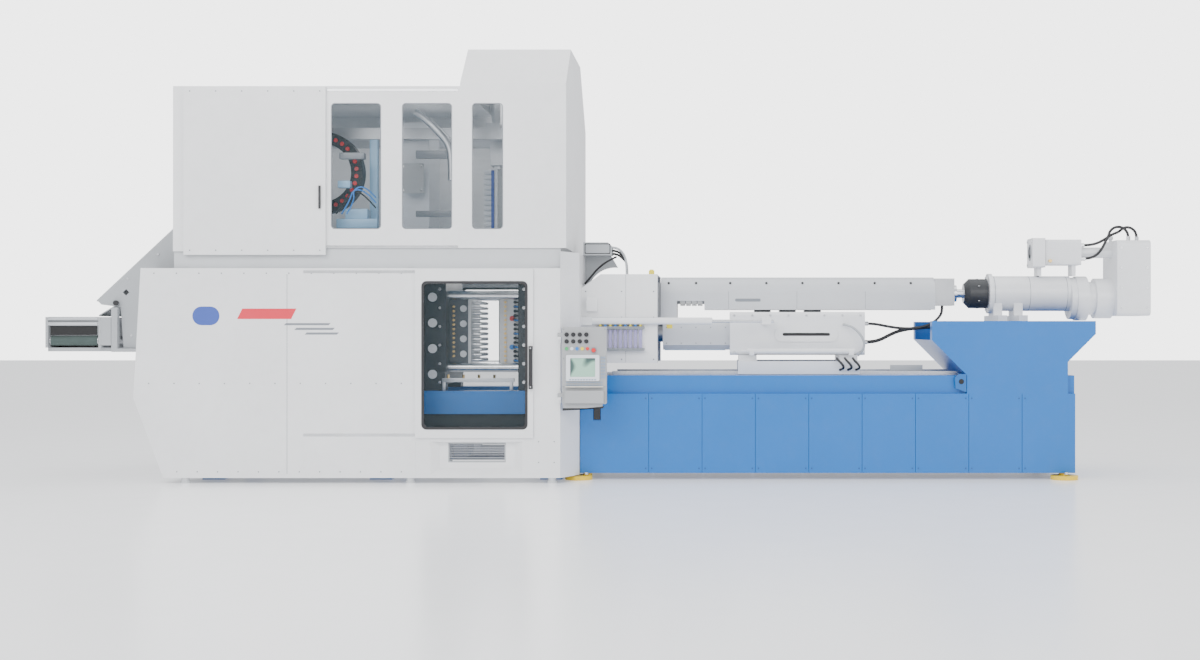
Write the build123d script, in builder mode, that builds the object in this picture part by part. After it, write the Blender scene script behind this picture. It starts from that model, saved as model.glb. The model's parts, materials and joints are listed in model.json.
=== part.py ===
from build123d import *
import math
import os

# Preform injection moulding machine. Millimetres, +Z up, +X towards the screw drive,
# -Y the operator side. The origin is on the floor under the middle of the machine.

# ---- driving sizes ----------------------------------------------------------------
sheet = 4                     # guard sheet
slide_gap = 0.3               # between a sliding guard and its rail
seat = 0.3                    # between pieces that stand on each other
fit = 0.05                    # radial clearance of a running fit
seam = 0.6                    # between neighbouring guard panels

guard_half = 1120             # centre plane to the lower guard's outer face
guard_top, guard_bottom = 2069, 50
guard_top_left, guard_waist_left, guard_foot_left = -4429, -4500, -4212
guard_waist = 821
guard_right = -391
end_wall_x = -240             # right end wall, between the cut corners
corner_half = 760

door_left, door_right = -1783, -650
door_bottom, door_top = 437, 2062
door_depth = 26
door_travel = 1080
window_margin = (86, 77, 106, 144)   # left, right, bottom, top of the door's window
handle_height, handle_width, handle_stand = 412, 38, 45

post = 80                     # guard posts and beams, square tube
post_x = (-4010, -1840, -475)
band_top = 2264               # grey band between the lower and upper guards
upper_half = 1100
upper_left, upper_roof = -4124, 3824
hood_left, hood_right, hood_front_top, hood_top = -1359, -338, 3853, 4262
cover_right, cover_left, cover_bottom, cover_top = -2647, -4010, 2197, 3816
cover_depth, cover_travel = 34, 1280
upper_windows_x = ((-2602, -2120), (-1918, -1436), (-1244, -945))
upper_window_bottom, upper_window_top, window_corner = 2447, 3660, 38

axis_z = 1461                 # mould centre
platen_half = 500
clamp_bed_top, clamp_bed_bottom, clamp_bed_half = 872, 646, 740
tie_spacing_y, tie_spacing_z, tie_r = 740, 732, 45
cyl_left, cyl_face, cyl_block = -4050, -2950, 300
ram_r, ram_left = 200, -3350
moving_left, moving_right = -1886, -1599
core_depth, stripper_depth, pin_out = 190, 30, 103
pin_r, pin_rows, pin_columns, pin_pitch_z, pin_pitch_y = 18, 12, 4, 53, 130
cavity_face, cavity_depth = -1101, 231
fixed_depth = 390
mould_half_y, mould_half_z = 290, 330
clamp_stroke, eject_stroke = 500, 90

takeoff_plate_x, takeoff_depth, sleeve_length, sleeve_r = -1175, 60, 87, 23
takeoff_rest_z = 2795         # plate centre when raised
mast_half, cheek, mast_length = 40, 40, 990
beam_bottom, beam_top, beam_inner, beam_outer = 3397, 3509, 300, 420
transfer_left, transfer_right, transfer_bottom, transfer_travel = -2091, -1806, 2502, 1300
chain_centre = (-2793, 3031)
chain_outer, chain_inner, chain_left = 406, 290, -3900
chain_front, chain_back = -700, -560

bed_left, bed_right, bed_half = -236, 4651, 740
bed_bottom, bed_top, band_bottom, band_setback = 64, 1024, 846, 50
bed_cover, bed_cover_gap, first_cover, cover_count = 24, 4, 678, 8
stand_left, stand_right, stand_top = 3236, 4853, 1563
stand_foot_left, stand_foot_right = 3581, 4577
stand_wall, rim_left_drop, rim_right_drop = 10, 188, 128
foot_r, foot_x, foot_screw_x = 135, (-250, 4545), (-165, 4545)

shot_z = axis_z               # injection axis
shot_bore, shot_r, shot_left, shot_right = 60, 110, 240, 1246
plunger_stroke = 420
housing_left, housing_right, housing_half, housing_bottom, housing_top = 1246, 2616, 300, 1220, 1657
barrel_z, barrel_r, barrel_bore = 1850, 110, 45
barrel_left, barrel_right = 560, 3347
cover_arc_r, barrel_cover_left = 167, 540
throat_left, throat_right, throat_half, throat_bore = 3347, 3550, 125, 60
coupling_left, coupling_right, coupling_r = 3657, 3905, 150
drive_z, drive_r, drive_right = 1830, 180, 4742
guard_box_left, guard_box_right = 5176, 5517
rail_half, rail_width, rail_height = 380, 60, 36
carriage_stroke = 300
contact_y, contact_z, contact_r, contact_rod_r = 550, 1564, 35, 15
contact_left, contact_right, rod_right = -133, 1065, 1654
nozzle_guard_left, nozzle_guard_right = end_wall_x, 516
nozzle_guard_bottom, nozzle_guard_top = 1145, 2033

panel_left, panel_right, panel_bottom, panel_top = -370, 57, 704, 1503
panel_front, panel_back = -1170, -1100
stop_button_r, stop_travel = 20, 6

conveyor_left, conveyor_right, conveyor_half = -5483, -4828, 800
conveyor_bottom, conveyor_top = 1263, 1602
roller_r, belt_thick = 44, 4
belt_left, belt_right, roller_z = -5440, -4980, 1369
chute_low, chute_high = (-5005, 1769), (-4229, 2496)

os.makedirs("parts", exist_ok=True)


def save(builder, label):
    builder.part.label = label
    export_step(builder.part, f"parts/{label}.step")


def save_group(label, *builders):
    """Pieces that are bolted together and written as one node."""
    with BuildPart() as group:
        add([builder.part for builder in builders])
    save(group, label)


def block(x0, x1, y0, y1, z0, z1, mode=Mode.ADD):
    """A box between two corners."""
    with Locations(((x0 + x1) / 2, (y0 + y1) / 2, (z0 + z1) / 2)):
        Box(x1 - x0, y1 - y0, z1 - z0, mode=mode)


def rod_x(x0, x1, y, z, radius, mode=Mode.ADD):
    """A round bar along X."""
    with Locations(Location(((x0 + x1) / 2, y, z), (0, 90, 0))):
        Cylinder(radius, x1 - x0, mode=mode)


def sided(side, inner, outer):
    """The two Y values of a wall on one side of the machine, low one first."""
    return (inner, outer) if side > 0 else (-outer, -inner)


# ---- lower guard ------------------------------------------------------------------
panel_inner = guard_half - sheet
with BuildPart() as side_panels:
    for side in (-1, 1):
        y0, y1 = sided(side, panel_inner, guard_half)
        with BuildSketch(Plane.XZ.offset(-y1)):
            with BuildLine():
                Polyline((guard_top_left, guard_top), (guard_waist_left, guard_waist),
                         (guard_foot_left, guard_bottom), (door_left - seam, guard_bottom),
                         (door_left - seam, guard_top), close=True)
            make_face()
        extrude(amount=sheet)

# The door opening is smaller than the door, and the vent recess is a pressed tray.
opening_lap = 70
recess = (-1639, -756, 82, 399)
recess_floor = (-1560, -835, 140, 396)
recess_depth = 60
grille = (-1481, -923, 195, 387)


def rectangle_xz(bounds, y):
    """A rectangle sketch facing -Y at the given Y."""
    x0, x1, z0, z1 = bounds
    with BuildSketch(Plane.XZ.offset(-y)) as outline:
        with Locations(((x0 + x1) / 2, (z0 + z1) / 2)):
            Rectangle(x1 - x0, z1 - z0)
    return outline.sketch


def grown(bounds, by):
    x0, x1, z0, z1 = bounds
    return x0 - by, x1 + by, z0 - by, z1 + by


with BuildPart() as door_surrounds:
    for side in (-1, 1):
        y0, y1 = sided(side, panel_inner, guard_half)
        block(door_left, guard_right - seam, y0, y1, guard_bottom, guard_top)
        block(door_left + opening_lap, door_right - opening_lap, y0, y1,
              door_bottom + opening_lap, door_top - opening_lap, Mode.SUBTRACT)
        outer, inner = side * guard_half, side * (guard_half - recess_depth)
        loft(sections=[rectangle_xz(grown(recess, sheet), outer),
                       rectangle_xz(grown(recess_floor, sheet), inner - side * sheet)])
        loft(sections=[rectangle_xz(recess, outer), rectangle_xz(recess_floor, inner)],
             mode=Mode.SUBTRACT)
        tray = sided(side, guard_half - recess_depth - 2 * sheet, guard_half - recess_depth + 1)
        block(grille[0], grille[1], tray[0], tray[1], grille[2], grille[3], Mode.SUBTRACT)

slat_count, slat_thick, slat_depth, grille_lip = 7, 4, 26, 12
with BuildPart() as vent_grilles:
    for side in (-1, 1):
        y0, y1 = sided(side, guard_half - recess_depth - slat_depth, guard_half - recess_depth)
        x0, x1, z0, z1 = grille
        block(x0, x1, y0, y1, z0, z1)
        block(x0 + grille_lip, x1 - grille_lip, y0, y1, z0 + grille_lip, z1 - grille_lip,
              Mode.SUBTRACT)
        pitch = (z1 - z0) / (slat_count + 1)
        for number in range(1, slat_count + 1):
            middle = z0 + number * pitch
            block(x0 + grille_lip, x1 - grille_lip, y0, y1, middle - slat_thick / 2,
                  middle + slat_thick / 2)
save(vent_grilles, "vent_grilles")

discharge_half, discharge_bottom = 780, 1500
nozzle_hole_half = 200
with BuildPart() as left_end_wall:
    wall_half = panel_inner - seam
    with BuildSketch(Plane.XZ.offset(-wall_half)):
        with BuildLine():
            Polyline((guard_top_left, guard_top), (guard_waist_left, guard_waist),
                     (guard_foot_left, guard_bottom), (guard_foot_left + sheet, guard_bottom),
                     (guard_waist_left + sheet, guard_waist), (guard_top_left + sheet, guard_top),
                     close=True)
        make_face()
    extrude(amount=2 * wall_half)
    block(guard_waist_left, guard_top_left + sheet, -discharge_half, discharge_half,
          discharge_bottom, guard_top, Mode.SUBTRACT)

corner_top = 2232
with BuildPart() as right_end_wall:
    with BuildSketch(Plane.XY.offset(guard_bottom)):
        with BuildLine():
            Polyline((guard_right, -guard_half), (end_wall_x, -corner_half),
                     (end_wall_x, corner_half), (guard_right, guard_half),
                     (guard_right, guard_half - 2 * sheet), (end_wall_x - sheet, corner_half - sheet),
                     (end_wall_x - sheet, sheet - corner_half),
                     (guard_right, 2 * sheet - guard_half), close=True)
        make_face()
    extrude(amount=corner_top - guard_bottom)
    block(end_wall_x - 2 * sheet, end_wall_x + sheet, -nozzle_hole_half, nozzle_hole_half,
          axis_z - nozzle_hole_half, axis_z + nozzle_hole_half, Mode.SUBTRACT)

# Square tube posts and beams. Each tube is a solid of its own, and they meet end to end.
post_out = guard_half - sheet
post_in = post_out - post
upper_post_out = upper_half - 20
upper_post_in = upper_post_out - post
upper_post_x = (upper_left + 70, -2020, hood_left + 58, hood_right - 54)
tube_wall = 6
upper_post_top = 3580


def tube(x0, x1, y0, y1, z0, z1):
    """A square tube along its longest side."""
    block(x0, x1, y0, y1, z0, z1)
    sizes = (x1 - x0, y1 - y0, z1 - z0)
    inset = [0 if size == max(sizes) else tube_wall for size in sizes]
    block(x0 + inset[0], x1 - inset[0], y0 + inset[1], y1 - inset[1], z0 + inset[2],
          z1 - inset[2], Mode.SUBTRACT)


band_low = guard_top - seat
with BuildPart() as guard_frame:
    for side in (-1, 1):
        y0, y1 = sided(side, post_in, post_out)
        for x in post_x:
            tube(x - post / 2, x + post / 2, y0, y1, guard_bottom, band_low)
        for left, right in zip(post_x, post_x[1:]):
            x0, x1 = left + post / 2 + seat, right - post / 2 - seat
            tube(x0, x1, y0, y1, band_low - post, band_low)
            tube(x0, x1, y0, y1, guard_bottom, guard_bottom + 24)
        y0, y1 = sided(side, upper_post_in, upper_post_out)
        for x in upper_post_x:
            tube(x - post / 2, x + post / 2, y0, y1, band_top + seat, upper_post_top)
    for x in upper_post_x[::3]:
        tube(x - post / 2, x + post / 2, seat - upper_post_in, upper_post_in - seat,
             beam_bottom, beam_top)

with BuildPart() as grey_band:
    band_x = (upper_left + sheet, guard_right)
    for side in (-1, 1):
        y0, y1 = sided(side, upper_post_in, upper_post_out)
        tube(band_x[0], band_x[1], y0, y1, guard_top, band_top)
    for x in (band_x[0] + 100, band_x[1] - 100):
        block(x - 40, x + 40, seat - upper_post_in, upper_post_in - seat, guard_top + 60,
              band_top)

with BuildPart() as guard_feet:
    for side in (-1, 1):
        for x in post_x:
            with Locations((x, side * (post_in + post_out) / 2, 0)):
                Cylinder(45, 18, align=(Align.CENTER, Align.CENTER, Align.MIN))
                Cylinder(post / 2 - 2, guard_bottom - seat,
                         align=(Align.CENTER, Align.CENTER, Align.MIN))

# ---- sliding guards ---------------------------------------------------------------
rail_thick = 4
door_inner = guard_half + rail_thick + slide_gap
door_outer = door_inner + door_depth
with BuildPart() as slide_rails:
    for side in (-1, 1):
        y0, y1 = sided(side, guard_half, guard_half + rail_thick)
        for z in (door_bottom + 15, door_top - 40):
            block(door_left - door_travel, door_right, y0, y1, z, z + 25)
    cover_face = -upper_half
    for z in (band_top + 4, cover_top - 40):
        block(cover_left, hood_left - 20, cover_face - rail_thick, cover_face, z, z + 20)
save(slide_rails, "slide_rails")

window = (door_left + window_margin[0], door_right - window_margin[1],
          door_bottom + window_margin[2], door_top - window_margin[3])
pane_lap, pane = 12, 6
for side, name in ((-1, "front"), (1, "rear")):
    y0, y1 = sided(side, door_inner, door_outer)
    skin = sided(side, door_outer - sheet, door_outer)
    with BuildPart() as door:
        block(door_left, door_right, y0, y1, door_bottom, door_top)
        inside = sided(side, door_inner - 1, door_outer - sheet)
        block(door_left + sheet, door_right - sheet, inside[0], inside[1], door_bottom + sheet,
              door_top - sheet, Mode.SUBTRACT)
        with BuildSketch(Plane.XZ.offset(-skin[1])):
            with Locations(((window[0] + window[1]) / 2, (window[2] + window[3]) / 2)):
                RectangleRounded(window[1] - window[0], window[3] - window[2], 40)
        extrude(amount=sheet, mode=Mode.SUBTRACT)
    save(door, f"{name}_door")
    with BuildPart() as glass:
        y0, y1 = sided(side, door_outer - sheet - pane, door_outer - sheet)
        block(window[0] - pane_lap, window[1] + pane_lap, y0, y1, window[2] - pane_lap,
              window[3] + pane_lap)
    save(glass, f"{name}_door_glass")
    if side < 0:
        handle_x = (door_right - 1 - handle_width, door_right - 1)
        handle_z = (908, 908 + handle_height)
        with BuildPart() as front_door_handle:
            far = -door_outer - handle_stand
            block(handle_x[0], handle_x[1], far, -door_outer, handle_z[0], handle_z[1])
            block(handle_x[0], handle_x[1], far + 18, -door_outer, handle_z[0] + 35,
                  handle_z[1] - 35, Mode.SUBTRACT)
            fillet(front_door_handle.edges().group_by(Axis.Y)[0].filter_by(Axis.Z), 8)
        save(front_door_handle, "front_door_handle")

cover_outer = upper_half + rail_thick + slide_gap + cover_depth
with BuildPart() as front_sliding_cover:
    block(cover_left, cover_right, -cover_outer, cover_depth - cover_outer, cover_bottom,
          cover_top)
    block(cover_left + sheet, cover_right - sheet, sheet - cover_outer,
          cover_depth - cover_outer + 1, cover_bottom + sheet, cover_top - sheet, Mode.SUBTRACT)
save(front_sliding_cover, "front_sliding_cover")

# ---- upper guard ------------------------------------------------------------------
with BuildPart() as window_panel:
    block(cover_right - 60, hood_left, -upper_half, sheet - upper_half, band_top, upper_roof)
    for x0, x1 in upper_windows_x[:2]:
        with BuildSketch(Plane.XZ.offset(upper_half)):
            with Locations(((x0 + x1) / 2, (upper_window_bottom + upper_window_top) / 2)):
                RectangleRounded(x1 - x0, upper_window_top - upper_window_bottom, window_corner)
        extrude(amount=-sheet, mode=Mode.SUBTRACT)

with BuildPart() as upper_panels:
    inside = upper_half - sheet
    block(upper_left, hood_left, -inside, inside, upper_roof - sheet, upper_roof)
    block(upper_left, upper_left + sheet, -inside, inside, corner_top, upper_roof - sheet)
    block(upper_left, cover_left - 6, -upper_half, -inside, corner_top, upper_roof)
    block(upper_left, hood_left, inside, upper_half, band_top, upper_roof)

with BuildPart() as upper_windows:
    for x0, x1 in upper_windows_x:
        block(x0 - pane_lap, x1 + pane_lap, sheet - upper_half, sheet + pane - upper_half,
              upper_window_bottom - pane_lap, upper_window_top + pane_lap)
save(upper_windows, "upper_windows")

# The hood rises over the take-off arm, and is open underneath and towards the robot.
hood_front_flat, hood_back_flat, hood_shoulder = -620, 440, 3640


def hood_outline(inset):
    """The hood's section, drawn looking along X, drawn in by its wall where asked."""
    back = upper_half - inset
    with BuildLine() as outline:
        Polyline((inset - upper_half, band_top), (inset - upper_half, hood_front_top - inset),
                 (hood_front_flat, hood_top - inset), (hood_back_flat, hood_top - inset),
                 (back, hood_shoulder), (back, band_top), close=True)
    return outline.line


with BuildPart() as hood:
    with BuildSketch(Plane.YZ.offset(hood_left)):
        add(hood_outline(0))
        make_face()
    extrude(amount=hood_right - hood_left)
    with BuildSketch(Plane.YZ.offset(hood_left + sheet)):
        add(hood_outline(sheet))
        make_face()
    extrude(amount=hood_right - hood_left - 2 * sheet, mode=Mode.SUBTRACT)
    block(hood_left - 1, hood_left + sheet + 1, sheet - upper_half, upper_half - 2 * sheet,
          band_top - 1, upper_roof - sheet, Mode.SUBTRACT)
    x0, x1 = upper_windows_x[2]
    with BuildSketch(Plane.XZ.offset(upper_half)):
        with Locations(((x0 + x1) / 2, (upper_window_bottom + upper_window_top) / 2)):
            RectangleRounded(x1 - x0, upper_window_top - upper_window_bottom, window_corner)
    extrude(amount=-sheet, mode=Mode.SUBTRACT)
save(hood, "hood")

floor_right = -1420
with BuildPart() as upper_floor:
    block(upper_left + 2 * sheet, floor_right, -upper_post_in, upper_post_in, band_top,
          band_top + 10)

# ---- clamp ------------------------------------------------------------------------
bed_beam = 240
clamp_left, clamp_right = -4100, end_wall_x - sheet
leg_x = (-3850, -2200, -520)
with BuildPart() as clamp_bed:
    for side in (-1, 1):
        y0, y1 = sided(side, clamp_bed_half - bed_beam, clamp_bed_half)
        block(clamp_left, clamp_right, y0, y1, clamp_bed_bottom, clamp_bed_top)
        for x in leg_x:
            block(x - 75, x + 75, y0 + 30, y1 - 30, 20, clamp_bed_bottom)
            block(x - 110, x + 110, y0, y1, 0, 20)
    for x in leg_x:
        block(x - 75, x + 75, bed_beam - clamp_bed_half, clamp_bed_half - bed_beam,
              clamp_bed_bottom, clamp_bed_top - 60)
save(clamp_bed, "clamp_bed")

tie_places = [(side * tie_spacing_y / 2, axis_z + level * tie_spacing_z / 2)
              for side in (-1, 1) for level in (-1, 1)]
platen_low, platen_high = clamp_bed_top, axis_z + platen_half


def tie_holes(x0, x1):
    for y, z in tie_places:
        rod_x(x0 - 1, x1 + 1, y, z, tie_r + fit, Mode.SUBTRACT)


with BuildPart() as cylinder_platen:
    block(cyl_face - cyl_block, cyl_face, -platen_half - 60, platen_half + 60, platen_low,
          platen_high)
    rod_x(cyl_left, cyl_face - cyl_block, 0, axis_z, ram_r + 130)
    rod_x(cyl_left + 100, cyl_face + 1, 0, axis_z, ram_r + fit, Mode.SUBTRACT)
    tie_holes(cyl_face - cyl_block, cyl_face)
    fillet(cylinder_platen.faces().filter_by(Axis.X).sort_by(Axis.X)[-1].outer_wire().edges(), 12)
save(cylinder_platen, "cylinder_platen")

fixed_left = cavity_face + cavity_depth
fixed_right = fixed_left + fixed_depth
nozzle_r = 45
with BuildPart() as fixed_platen:
    block(fixed_left, fixed_right, -platen_half - 60, platen_half + 60, platen_low, platen_high)
    rod_x(fixed_left - 1, fixed_right + 1, 0, axis_z, nozzle_r + 30, Mode.SUBTRACT)
    tie_holes(fixed_left, fixed_right)
    fillet(fixed_platen.faces().filter_by(Axis.X).sort_by(Axis.X)[0].outer_wire().edges(), 12)
save(fixed_platen, "fixed_platen")

nut_r, nut_long, tie_stub = 85, 90, 20
with BuildPart() as tie_bars:
    for y, z in tie_places:
        rod_x(cyl_face - cyl_block - nut_long - tie_stub, fixed_right + nut_long + tie_stub, y, z,
              tie_r)
with BuildPart() as tie_bar_nuts:
    for y, z in tie_places:
        for x0 in (cyl_face - cyl_block - nut_long, fixed_right):
            with BuildSketch(Plane.YZ.offset(x0)):
                with Locations((y, z)):
                    RegularPolygon(nut_r, 6)
                    Circle(tie_r + fit, mode=Mode.SUBTRACT)
            extrude(amount=nut_long)

shoe_gap = 0.3
with BuildPart() as moving_platen:
    block(moving_left, moving_right, -platen_half, platen_half, platen_low + shoe_gap + 60,
          platen_high)
    for side in (-1, 1):
        y0, y1 = sided(side, platen_half - 100, platen_half + 60)
        block(moving_left, moving_right, y0, y1, platen_low + shoe_gap, platen_low + 180)
    tie_holes(moving_left, moving_right)
save(moving_platen, "moving_platen")

with BuildPart() as clamp_ram:
    rod_x(ram_left, moving_left, 0, axis_z, ram_r)
    rod_x(ram_left - 40, ram_left, 0, axis_z, ram_r - 12)
save(clamp_ram, "clamp_ram")

core_right = moving_right + core_depth
stripper_right = core_right + stripper_depth + shoe_gap
pin_places = [((column - (pin_columns - 1) / 2) * pin_pitch_y,
               axis_z + (row - (pin_rows - 1) / 2) * pin_pitch_z)
              for column in range(pin_columns) for row in range(pin_rows)]
with BuildPart() as core_block:
    block(moving_right, core_right, -mould_half_y, mould_half_y, axis_z - mould_half_z,
          axis_z + mould_half_z)
    chamfer(core_block.edges().filter_by(Axis.X), 10)
save(core_block, "core_block")

with BuildPart() as core_pins:
    for y, z in pin_places:
        with BuildSketch(Plane.XZ.offset(-y)):
            with BuildLine():
                tip = stripper_right + pin_out
                Polyline((tip - pin_r, z + pin_r), (core_right, z + pin_r), (core_right, z),
                         (tip, z))
                RadiusArc((tip, z), (tip - pin_r, z + pin_r), -pin_r)
            make_face()
        revolve(axis=Axis((0, y, z), (1, 0, 0)))
save(core_pins, "core_pins")

with BuildPart() as stripper_plate:
    block(core_right + shoe_gap, stripper_right, -mould_half_y - 15, mould_half_y + 15,
          axis_z - mould_half_z, axis_z + mould_half_z)
    for y, z in pin_places:
        rod_x(core_right, stripper_right + 1, y, z, pin_r + fit, Mode.SUBTRACT)
save(stripper_plate, "stripper_plate")

with BuildPart() as cavity_block:
    block(cavity_face, fixed_left, -mould_half_y, mould_half_y, axis_z - mould_half_z,
          axis_z + mould_half_z)
    for y, z in pin_places:
        rod_x(cavity_face - 1, cavity_face + pin_out + 8, y, z, pin_r + 4, Mode.SUBTRACT)
    rod_x(fixed_left - 60, fixed_left + 1, 0, axis_z, nozzle_r + 5, Mode.SUBTRACT)
    chamfer(cavity_block.faces().sort_by(Axis.X)[0].outer_wire().edges(), 8)
save(cavity_block, "cavity_block")

# ---- take-off and transfer robot --------------------------------------------------
sleeve_wall = 5
plate_half_y, plate_half_z = mould_half_y - 10, mould_half_z - 10
plate_back = takeoff_plate_x + takeoff_depth
mast_low = takeoff_rest_z + plate_half_z
with BuildPart() as takeoff_plate:
    block(takeoff_plate_x, plate_back, -plate_half_y, plate_half_y,
          takeoff_rest_z - plate_half_z, mast_low)
    block(takeoff_plate_x, plate_back, -mast_half, mast_half, mast_low, mast_low + mast_length)

with BuildPart() as takeoff_sleeves:
    for y, z in pin_places:
        height = z - axis_z + takeoff_rest_z
        rod_x(takeoff_plate_x - sleeve_length, takeoff_plate_x, y, height, sleeve_r)
        rod_x(takeoff_plate_x - sleeve_length - 1, takeoff_plate_x + 1, y, height,
              sleeve_r - sleeve_wall, Mode.SUBTRACT)

takeoff_travel = (takeoff_rest_z - axis_z) / 2     # each of the two stages
cheek_low = mast_low + 10
cheek_high = mast_low + mast_length + 40
with BuildPart() as mast_stage:
    half = mast_half + shoe_gap
    block(takeoff_plate_x, plate_back, -half - cheek, half + cheek, cheek_low, cheek_high)
    block(takeoff_plate_x - 1, plate_back + 1, -half, half, cheek_low - 1,
          mast_low + mast_length + shoe_gap, Mode.SUBTRACT)
save(mast_stage, "mast_stage")

guide_low, guide_high, guide_wall = cheek_low + 40, beam_top + 50, 40
with BuildPart() as mast_guide:
    stage = mast_half + cheek + shoe_gap
    block(takeoff_plate_x - guide_wall, plate_back + guide_wall, -stage - guide_wall,
          stage + guide_wall, guide_low, guide_high)
    block(takeoff_plate_x - guide_wall, plate_back + guide_wall, -beam_outer, beam_outer,
          beam_top, guide_high)
    block(takeoff_plate_x - shoe_gap, plate_back + shoe_gap, -stage - shoe_gap,
          stage + shoe_gap, guide_low - 1, guide_high + 1, Mode.SUBTRACT)

beam_wall = 10
with BuildPart() as robot_beams:
    for side in (-1, 1):
        y0, y1 = sided(side, beam_inner, beam_outer)
        x0, x1 = upper_post_x[0] + post / 2, upper_post_x[-1] - post / 2
        block(x0, x1, y0, y1, beam_bottom, beam_top)
        block(x0 - 1, x1 + 1, y0 + beam_wall, y1 - beam_wall, beam_bottom + beam_wall,
              beam_top - beam_wall, Mode.SUBTRACT)

with BuildPart() as transfer_unit:
    neck = beam_inner - 6
    block(transfer_left, transfer_right, -neck, neck, transfer_bottom, beam_top + shoe_gap)
    block(transfer_left, transfer_right, -beam_outer, beam_outer, beam_top + shoe_gap,
          beam_top + 50)
    fillet(transfer_unit.edges().filter_by(Axis.Y).group_by(Axis.Z)[0], 30)
    block(transfer_left - 1, transfer_left + 40, 60 - neck, neck - 60, transfer_bottom + 120,
          beam_bottom - 120, Mode.SUBTRACT)
save(transfer_unit, "transfer_unit")

with BuildPart() as energy_chain:
    with BuildSketch(Plane.XZ.offset(-chain_back)):
        cx, cz = chain_centre
        with BuildLine():
            ThreePointArc((cx, cz - chain_outer), (cx + chain_outer, cz), (cx, cz + chain_outer))
            Polyline((cx, cz + chain_outer), (chain_left, cz + chain_outer),
                     (chain_left, cz + chain_inner), (cx, cz + chain_inner))
            ThreePointArc((cx, cz + chain_inner), (cx + chain_inner, cz), (cx, cz - chain_inner))
            Polyline((cx, cz - chain_inner), (chain_left, cz - chain_inner),
                     (chain_left, cz - chain_outer), (cx, cz - chain_outer))
        make_face()
    extrude(amount=chain_back - chain_front)
save(energy_chain, "energy_chain")

shelf_top = chain_centre[1] - chain_outer
with BuildPart() as chain_shelf:
    block(chain_left, chain_centre[0], chain_front - 10, chain_back + 10, shelf_top - 12,
          shelf_top)
    for x in (chain_left + 60, chain_centre[0] - 60):
        block(x - 30, x + 30, chain_front, chain_back, band_top + 10, shelf_top - 12)
    bracket_top = chain_centre[1] + chain_outer
    block(chain_left, chain_left + 160, chain_back, -beam_outer, bracket_top - 40, bracket_top)

# ---- injection bed ----------------------------------------------------------------
deck, frame_wall = 20, 16
cover_pitch = (bed_right - bed_left - first_cover) / cover_count
seams = [bed_left + first_cover + number * cover_pitch for number in range(cover_count + 1)]
frame_half = bed_half - bed_cover
with BuildPart() as injection_bed:
    upper = bed_half - band_setback
    block(bed_left, bed_right, -upper, upper, band_bottom - deck, bed_top)
    block(bed_left + frame_wall, bed_right - frame_wall, frame_wall - upper, upper - frame_wall,
          band_bottom - deck - 1, bed_top - deck, Mode.SUBTRACT)
    for side in (-1, 1):
        y0, y1 = sided(side, frame_half - 110, frame_half)
        block(bed_left, bed_right, y0, y1, bed_bottom, bed_bottom + 60)
        y0, y1 = sided(side, upper - frame_wall, frame_half)
        block(bed_left, bed_right, y0, y1, band_bottom - deck, band_bottom)
    for x in [bed_left + frame_wall / 2] + seams[:-1] + [bed_right - frame_wall / 2]:
        block(x - frame_wall / 2, x + frame_wall / 2, -frame_half, frame_half, bed_bottom,
              band_bottom)
save(injection_bed, "injection_bed")

latch_centre = (-68, 660)
latch_half_w, latch_half_h, latch_depth = 38, 76, 18
with BuildPart() as bed_covers:
    edges_x = [bed_left] + seams
    for side in (-1, 1):
        y0, y1 = sided(side, frame_half, bed_half)
        for left, right in zip(edges_x, edges_x[1:]):
            block(left + bed_cover_gap / 2, right - bed_cover_gap / 2, y0, y1, bed_bottom,
                  band_bottom)
    lx, lz = latch_centre
    block(lx - latch_half_w, lx + latch_half_w, -bed_half - 1, latch_depth - bed_half,
          lz - latch_half_h, lz + latch_half_h, Mode.SUBTRACT)
save(bed_covers, "bed_covers")

latch_pin_r = 5
with BuildPart() as cover_latch:
    block(lx - latch_half_w + 6, lx + latch_half_w - 6, 2 - bed_half, latch_depth - 4 - bed_half,
          lz - latch_half_h + 8, lz + latch_half_h - 22)
    rod_x(lx - latch_half_w + 0.3, lx + latch_half_w - 0.3, latch_depth / 2 - bed_half,
          lz + latch_half_h - 20, latch_pin_r)
save(cover_latch, "cover_latch")

foot_high = 40
with BuildPart() as levelling_feet:
    for x, screw_x in zip(foot_x, foot_screw_x):
        for side in (-1, 1):
            with Locations((x, side * (bed_half - 20), 0)):
                Cylinder(foot_r, foot_high, align=(Align.CENTER, Align.CENTER, Align.MIN))
            with Locations((screw_x, side * (bed_half - 70), 0)):
                Cylinder(45, bed_bottom, align=(Align.CENTER, Align.CENTER, Align.MIN))
save(levelling_feet, "levelling_feet")

rim_left_z, rim_right_z = stand_top - rim_left_drop, stand_top - rim_right_drop
stand_half = bed_half
stand_floor = bed_top + 26
hose_gap_half = 600           # the stand's left side is open for the hoses


def stand_outline(inset):
    with BuildLine() as outline:
        Polyline((stand_left + inset, stand_top + (1 if inset else 0)),
                 (stand_left + inset, rim_left_z),
                 (stand_foot_left + inset, rim_left_z - (stand_foot_left - stand_left)),
                 (stand_foot_left + inset, stand_floor if inset else bed_top),
                 (stand_foot_right - inset, stand_floor if inset else bed_top),
                 (stand_foot_right - inset, rim_right_z - (stand_right - stand_foot_right)),
                 (stand_right - inset, rim_right_z),
                 (stand_right - inset, stand_top + (1 if inset else 0)), close=True)
    return outline.line


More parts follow.
